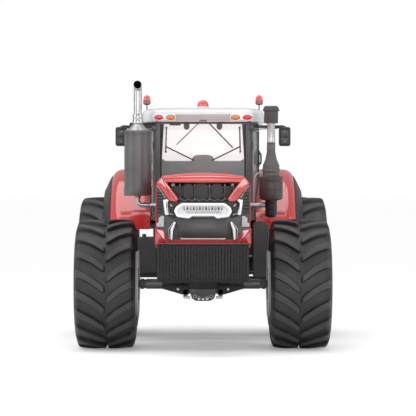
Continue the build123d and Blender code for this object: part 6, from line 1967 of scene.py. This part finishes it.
@dataclass
class OperatorSeat:
    """The seat: crowned cushion and back with bolsters as padded pieces, on a suspension base."""

    def build(self, shop: Workshop) -> None:
        """Makes the cushion, the back, the headrest, the shell and the base in place of the node."""
        box = Span.of("seat")
        x, rear, low, high = box.high[0], box.high[1], box.low[2], box.high[2]
        cushion = self._pad((0, (box.low[1] + rear - 0.10) / 2, low + 0.46), (x - 0.012, 0.255, 0.058),
                            0)
        back = self._pad((0, rear - 0.085, low + 0.70), (x - 0.045, 0.055, 0.225), 1)
        rest = self._pad((0, rear - 0.075, high - 0.050), (0.120, 0.045, 0.046), 1)
        for name, surface, node in (("seat_cushion", cushion, ["seat"]), ("seat_back", back, []),
                                    ("seat_headrest", rest, [])):
            pad = shop.piece(name, surface, "fabric", node, sharp=75)
            self._plump(pad)
        base = [slab((-x + 0.09, x - 0.09), (box.low[1] + 0.14, rear - 0.12), (low + 0.31, low + 0.395),
                     0.010)]
        folds = np.linspace(low + 0.02, low + 0.315, 40)
        swell = 0.150 + 0.014 * np.cos(2 * np.pi * (folds - low) / 0.049)
        outline = rounded(rectangle((-1, 1), (-0.85, 0.85)), 0.35, 5)
        centre = np.array([0.0, box.low[1] + 0.31])
        rings = np.stack([placed(outline * s + centre, z, Facing.PLAN) for s, z in zip(swell, folds)])
        bellows = capped(grid(rings, wrap_v=True), len(outline))
        base.append(slab((-0.17, 0.17), (box.low[1] + 0.13, rear - 0.01), (low + 0.001, low + 0.022),
                         0.006))
        base += [slab((s * 0.235 - 0.028, s * 0.235 + 0.024), (rear - 0.40, rear - 0.12),
                      (low + 0.600, low + 0.635), 0.014, 0.014) for s in (-1, 1)]
        base += [slab((s * 0.228 - 0.012, s * 0.228 + 0.012), (rear - 0.150, rear - 0.105),
                      (low + 0.42, low + 0.615), 0.006) for s in (-1, 1)]
        shop.piece("seat_base", joined(base + [bellows]), "plastic")

    def _pad(self, centre: Point, half: Point, across: int) -> Surface:
        """A crowned pad with side bolsters and two sewn channels.

        It is a superellipsoid, |x|^n + |y|^n + |z|^n = 1 scaled to its half sizes, whose front face
        swells towards the sides and dips along two lines.

        Args:
            centre: its middle.
            half: its half sizes.
            across: 0 for a cushion whose face looks up, 1 for a back whose face looks forward.

        Returns:
            The closed surface.
        """
        u = np.linspace(-np.pi / 2, np.pi / 2, 41)[:, None]
        v = np.linspace(0, 2 * np.pi, 80, endpoint=False)[None, :]
        a = signed_power(np.cos(u), 0.42) * signed_power(np.cos(v), 0.36)
        b = signed_power(np.cos(u), 0.42) * signed_power(np.sin(v), 0.36)
        c = signed_power(np.sin(u), 0.55) * np.ones_like(v)
        bolster = 0.16 * smooth(np.abs(a), 0.55, 0.85) * (1 - smooth(np.abs(a), 0.9, 1.0))
        channel = -0.10 * np.exp(-((np.abs(a) - 0.52) / 0.045) ** 2) - 0.07 * np.exp(-(b / 0.05) ** 2)
        c = np.where(c > 0, c * (0.84 + bolster + channel), c)
        parts = (a, b, c) if across == 0 else (a, -c, b)
        points = np.stack([p * h for p, h in zip(parts, half)], -1)
        return grid(points + np.asarray(centre), wrap_v=True)

    def _plump(self, pad: bpy.types.Object) -> None:
        """Rounds the pad once more with a subdivision, applied to its mesh."""
        fine = pad.modifiers.new("Fine", "SUBSURF")
        fine.levels = fine.render_levels = 1
        with bpy.context.temp_override(object=pad, active_object=pad):
            bpy.ops.object.modifier_apply(modifier=fine.name)


@dataclass
class Mirrors:
    """Mirror heads with a glass face, covers and screws on the back, and bracket arms on a bar."""

    def build(self, shop: Workshop) -> None:
        """Makes heads, glasses and arms in place of the node."""
        box = Span.of("mirrors")
        outer, y = box.high[0], (box.low[1] + box.high[1]) / 2
        low, high = box.low[2] + 0.001, box.high[2] - 0.030
        outline = rounded(rectangle((outer - 0.176, outer - 0.001), (low, high)), 0.040, 6)
        front, rear = box.low[1] + 0.001, box.low[1] + 0.061
        levels = [(0.030, front), (0.018, front + 0.003), (0.008, front + 0.012),
                  (0.002, front + 0.028), (0.0, front + 0.040), (0.001, rear - 0.004), (0.006, rear),
                  (0.014, rear - 0.001), (0.016, rear - 0.006), (0.022, rear - 0.006)]
        head = capped(stacked(outline, levels), len(outline))
        shop.piece("mirror_heads", both_sides(head), "plastic", ["mirrors"])
        glass = prism(inset(outline, 0.018), rear - 0.0055, rear - 0.003, 0.001, 1)
        shop.piece("mirror_glasses", both_sides(glass), "mirror")
        middle = (low + high) / 2
        face = [slab((outer - 0.148, outer - 0.030), (front - 0.004, front + 0.003),
                     (low + 0.030 + k * 0.112, low + 0.126 + k * 0.112), 0.003, 0.016) for k in (0, 1)]
        shop.piece("mirror_covers", both_sides(joined(face)), "cover")
        rim = tube(placed(inset(outline, 0.012), front + 0.004), 0.0035, 8, up=(0, 1, 0), closed=True)
        shop.piece("mirror_rims", both_sides(rim), "hose")
        dots = bolts([(outer - 0.089, front - 0.002, middle + k * 0.072) for k in (-1, 1)], "Y", 0.008,
                     -0.006)
        shop.piece("mirror_screws", both_sides(dots), "bracket")
        z, pillar = box.high[2] - 0.017, 0.690
        bars = both_sides(slab((0.700, outer - 0.100), (y - 0.016, y + 0.016), (z - 0.030, z + 0.012),
                               0.006, 0.010))
        carrier = slab((-1.085, -0.700), (y + 0.012, y + 0.062), (z - 0.008, z + 0.050), 0.008, 0.012)
        shop.piece("mirror_bars", joined([bars, carrier]), "plastic")
        arm = tube([(pillar, y, z), (outer - 0.115, y, z), (outer - 0.096, y, z - 0.006),
                    (outer - 0.090, y, z - 0.045)], 0.0105, 12, up=(0, 1, 0))
        lower = tube([(pillar, y, z - 0.052), (outer - 0.20, y, z - 0.034),
                      (outer - 0.115, y, z - 0.010)], 0.0065, 10, up=(0, 1, 0))
        clamp = slab((pillar - 0.012, pillar + 0.062), (y - 0.022, y + 0.022), (z - 0.072, z + 0.016),
                     0.006, 0.014)
        grip = slab((outer - 0.108, outer - 0.066), (y - 0.024, y + 0.020),
                    (high - 0.030, high + 0.012), 0.006, 0.010)
        shop.piece("mirror_arms", both_sides(joined([arm, lower, clamp, grip])), "dark")


@dataclass
class Doors:
    """What the doors carry: a handle with its plate and lock."""

    handle_z: float = 2.705

    def build(self, shop: Workshop) -> None:
        """Makes the handle of each door."""
        for side in Side:
            box = Span.of("door_left")
            x, rear = box.high[0], box.high[1]
            body = Body["DOOR_" + side.name]
            grip = tube(spline(offset((x, rear, self.handle_z), [(-0.012, -0.030, -0.085),
                                                                 (0.020, -0.034, -0.070),
                                                                 (0.026, -0.038, 0),
                                                                 (0.020, -0.034, 0.070),
                                                                 (-0.012, -0.030, 0.085)]), 6), 0.013,
                        12, up=(0, 1, 0))
            plate = slab((x - 0.022, x + 0.004), (rear - 0.075, rear - 0.012),
                         (self.handle_z - 0.12, self.handle_z + 0.12), 0.006, 0.010)
            lock = lathe([(x, 1e-4), (x, 0.017), (x + 0.010, 0.016), (x + 0.012, 1e-4)], "X",
                         (0, rear - 0.044, self.handle_z + 0.100), 20)
            parts = joined([grip, plate, lock])
            shop.piece(f"door_handle_{side.name.lower()}", parts
                       if side is Side.LEFT else parts.mirrored(), "plastic",
                       body=body)


@dataclass
class RearWall:
    """The cab's back: rear window's lower pane with its seal and wiper, beads, couplers and sockets."""

    def build(self, shop: Workshop) -> None:
        """Makes every piece on the cab's rear wall."""
        tub = Span.of("cab_tub")
        y, low = tub.high[1], tub.low[2]
        pane = rounded([(-0.60, 1.98), (0.60, 1.98), (0.66, 2.60), (-0.66, 2.60)], 0.09, 6)
        shop.piece("rear_pane", prism(pane, y - 0.004, y + 0.006, 0.003), "gloss_black")
        seal = tube(placed(pane, y + 0.004), 0.014, 10, up=(0, 1, 0), closed=True)
        wiper = [tube([(0.0, y + 0.018, 2.64), (0.16, y + 0.020, 2.34), (0.30, y + 0.016, 2.14)], 0.009,
                      8), slab((-0.06, 0.06), (y - 0.002, y + 0.03), (2.60, 2.66), 0.012, 0.016)]
        shop.piece("rear_seal", joined([seal] + wiper), "plastic")
        beads = [slab((-0.78, 0.78), (y - 0.004, y + 0.010), (z, z + 0.026), 0.007)
                 for z in (1.90, 1.84)]
        beads += [slab((s * 0.755 - 0.02, s * 0.755 + 0.02), (y - 0.004, y + 0.012), (1.50, 2.64),
                       0.008) for s in (-1, 1)]
        shop.piece("rear_beads", joined(beads), "dark")
        blocks, caps, rings = [], [], []
        for s in (-1, 1):
            blocks.append(slab((s * 0.57 - 0.135, s * 0.57 + 0.135), (y, y + 0.060),
                               (low + 0.03, low + 0.30), 0.008, 0.014))
            for column in range(3):
                for row in range(2):
                    x, z = s * 0.57 + (column - 1) * 0.085, low + 0.10 + row * 0.125
                    rings.append(lathe(offset((y, 0), [(0.055, 1e-4), (0.055, 0.032), (0.085, 0.032),
                                                       (0.088, 0.026), (0.110, 0.026), (0.110, 0.018),
                                                       (0.075, 0.018), (0.075, 1e-4)]), "Y", (x, 0, z),
                                       24))
                    caps.append(lathe([(y + 0.060, 1e-4), (y + 0.060, 0.0175), (y + 0.096, 0.0175),
                                       (y + 0.102, 0.014), (y + 0.102, 1e-4)], "Y", (x, 0, z), 20))
        shop.piece("coupler_blocks", joined(blocks), "cast")
        shop.piece("coupler_sleeves", joined(rings), "steel")
        shop.piece("coupler_caps", joined(caps), "red")
        socket = lathe([(y, 1e-4), (y, 0.040), (y + 0.030, 0.040), (y + 0.034, 0.036),
                        (y + 0.040, 0.034), (y + 0.044, 1e-4)], "Y", (0.0, 0, low + 0.32), 28)
        shop.piece("trailer_socket", socket, "plastic")


@dataclass
class TailLamps:
    """Lamp clusters on the rear of the fenders."""

    def build(self, shop: Workshop) -> None:
        """Makes housings and lenses on both sides."""
        box = Span.of("fender_left")
        y, z = box.high[1] - 0.043, box.high[2] - 0.391
        housing = slab((0.975, 1.245), (y - 0.030, y + 0.012), (z - 0.058, z + 0.058), 0.008, 0.018)
        shop.piece("tail_housings", both_sides(housing), "plastic")
        red = slab((0.985, 1.100), (y + 0.008, y + 0.026), (z - 0.046, z + 0.046), 0.006, 0.012)
        amber = slab((1.106, 1.235), (y + 0.008, y + 0.026), (z - 0.046, z + 0.046), 0.006, 0.012)
        shop.piece("tail_lenses_red", both_sides(red), "red_lens")
        shop.piece("tail_lenses_amber", both_sides(amber), "amber")


@dataclass
class Undercarriage:
    """Tow pins, gussets, bushings, a pale bar on the weights as a painted highlight, a dark strap by
    the left tank as painted shade, axle sleeves and hoses.
    """

    def build(self, shop: Workshop) -> None:
        """Makes the pieces round the weight carrier, the left tank and the front axle."""
        carrier, axle = Span.of("weight_carrier"), Span.of("front_axle")
        y = carrier.low[1]
        pins = lathe([(0.172, 1e-4), (0.172, 0.014), (0.180, 0.019), (0.250, 0.019), (0.258, 0.014),
                      (0.262, 1e-4)], "X", (0, y + 0.03, carrier.low[2] + 0.045), 20)
        shop.piece("tow_pins", both_sides(pins), "bracket")
        wedge = rounded([(0.560, 0.945), (0.560, 0.906), (0.450, 0.874), (0.276, 0.823), (0.190, 0.823),
                         (0.190, 0.960)], 0.008, 3)
        shop.piece("carrier_gussets", both_sides(prism(wedge, y + 0.060, y + 0.095, 0.005)), "weights")
        spots = [(s * 0.338, y + 0.064, 0.897) for s in (-1, 1)]
        shop.piece("carrier_bolts", bolts(spots, "Y", 0.018, -0.014), "bracket")
        rings = [lathe([(y - 0.0035, 0.0162), (y - 0.0035, 0.0215), (y + 0.004, 0.0215),
                        (y + 0.004, 0.0162), (y - 0.0035, 0.0162)], "Y", (x, 0, z), 24)
                 for x, z in ((0.055, 0.778), (-0.055, 0.778), (0.109, 0.801), (-0.109, 0.801))]
        shop.piece("tow_bushings", joined(rings), "bracket", closed=False)
        # A pale bar along the weights' top front edge: a painted highlight.
        weights = Span.of("front_weights")
        edge = slab((-0.600, 0.600), (weights.low[1] + 0.004, weights.low[1] + 0.016),
                    (weights.high[2] - 0.004, weights.high[2] + 0.004), 0.002)
        shop.piece("weights_top_highlight_bar", edge, "hose")
        # A dark strap that fills the gap beside the left tank: painted shade.
        tank = Span.of("fuel_tank_left")
        gap_shade_strap = slab((tank.low[0] - 0.058, tank.low[0] + 0.004), (tank.low[1] + 0.06,
                                                                  tank.high[1] - 0.10), (1.262, 1.600),
                     0.008, 0.016)
        shop.piece("tank_gap_shade_strap", gap_shade_strap, "plastic")
        hub, r = Span.of("front_tyre_left").centre, 0.0715
        sleeve = [(0.560, 1e-4), (0.560, r - 0.010), (0.566, r), (0.800, r), (0.806, r - 0.010),
                  (0.806, 1e-4)]
        shop.piece("axle_sleeves", both_sides(lathe(sleeve, "X", (0, hub[1], hub[2]), 40)), "sleeve")
        middle = axle.centre[1]
        hoses = tube(spline(offset((0, middle, axle.high[2]), [(0.34, -0.10, 0.14), (0.46, -0.13, 0.06),
                                                               (0.62, -0.11, -0.01),
                                                               (0.80, -0.09, -0.02)]), 8), 0.010, 10)
        shop.piece("axle_hoses", both_sides(hoses), "plastic")


@dataclass
class Plain:
    """Nodes whose shape is right: merged copies with rounded edges."""

    rows: list[tuple[str, Body, str, float, str]]

    def build(self, shop: Workshop) -> None:
        """Dresses each node."""
        for row in self.rows:
            shop.softened(*row)


def wheels() -> list:
    """Tyres and rims, left side first."""
    made = []
    for side in Side:
        name = side.name.lower()
        front, rear = Body["FRONT_WHEEL_" + side.name], Body["REAR_WHEEL_" + side.name]
        made += [LuggedTyre(f"front_tyre_{name}", front, side, lugs=19, bead_r=0.455, inner_share=0.92),
                 LuggedTyre(f"rear_tyre_{name}", rear, side, lugs=18, bead_r=0.545),
                 DishedRim(f"front_rim_{name}", f"front_tyre_{name}", front, side, bead_r=0.455,
                           hub_r=0.174, bolt_ring=0.22, disc_x=0.060, hub_in=-0.228, inner_lip=0.4425),
                 DishedRim(f"rear_rim_{name}", f"rear_tyre_{name}", rear, side, bead_r=0.545,
                           hub_r=0.19, bolt_ring=0.25, disc_x=-0.060, hub_in=-0.30)]
    return made


def plain_rows() -> list[tuple[str, Body, str, float, str]]:
    """Node, body, finish, width of the rounding and slot of each node that is only dressed."""
    chassis = Body.CHASSIS
    castings = ("front_frame", "weight_carrier", "engine", "transmission", "rear_axle", "hitch_bracket",
                "drawbar")
    rows = [(node, chassis, "cast", 0.006, "cast_dark") for node in castings]
    rows += [("front_weights", chassis, "weights", 0.006, "cast_dark"),
             ("front_axle", chassis, "axle", 0.006, "paint_silver"),
             ("fuel_tank_left", chassis, "tank", 0.02, "plastic_black"),
             ("fuel_tank_right", chassis, "tank", 0.02, "plastic_black"),
             ("steps", chassis, "dark", 0.004, "paint_dark"),
             ("cab_tub", chassis, "dark", 0.01, "paint_dark"),
             ("cab_frame", chassis, "dark", 0.01, "paint_dark"),
             ("cab_glass", chassis, "glass", 0.001, "glass"),
             ("dash", chassis, "trim", 0.015, "plastic_black"),
             ("steering_wheel", chassis, "plastic", 0.003, "plastic_black"),
             ("cowl", chassis, "red", 0.008, "paint_red"),
             ("bumper", Body.HOOD, "red", 0.012, "paint_red")]
    for side in Side:
        name, door = side.name.lower(), Body["DOOR_" + side.name]
        rows += [(f"door_{name}", door, "dark", 0.006, "paint_dark"),
                 (f"door_glass_{name}", door, "door_glass", 0.001, "glass"),
                 (f"knuckle_{name}", Body["KNUCKLE_" + side.name], "cast", 0.006, "paint_silver")]
    return rows + [("tie_rod", Body.TIE_ROD, "steel", 0.002, "steel"),
                   ("lift_arms", Body.LIFT_ARMS, "cast", 0.006, "cast_dark"),
                   ("lift_rods", Body.LIFT_RODS, "steel", 0.003, "steel"),
                   ("lower_links", Body.LOWER_LINKS, "cast", 0.005, "cast_dark"),
                   ("top_link", Body.TOP_LINK, "steel", 0.003, "steel"),
                   ("pto_shaft", Body.PTO_SHAFT, "steel", 0.001, "steel")]


def assemblies() -> list:
    """Every sub-assembly, in the order that they are built."""
    kinds = (Flares, Roof, RoofLamps, Beacons, Exhaust, AirCleaner, Windshield, OperatorSeat, Mirrors,
             Doors, RearWall, TailLamps, Undercarriage)
    return [*wheels(), NoseLip(), EngineFace(), NosePanel(), Lamps(), *map(Fender, Side),
            *(kind() for kind in kinds), Plain(plain_rows())]


def main() -> None:
    """Builds the studio and every sub-assembly in order."""
    logging.basicConfig(level=logging.INFO, format="%(message)s")
    scene = bpy.context.scene
    scene.view_settings.view_transform = "Standard"
    shop = Workshop(finishes())
    Studio().build()
    for assembly in assemblies():
        log.info("building %s", type(assembly).__name__)
        assembly.build(shop)
    log.info("%d pieces", shop.count)


if __name__ == "__main__":
    main()
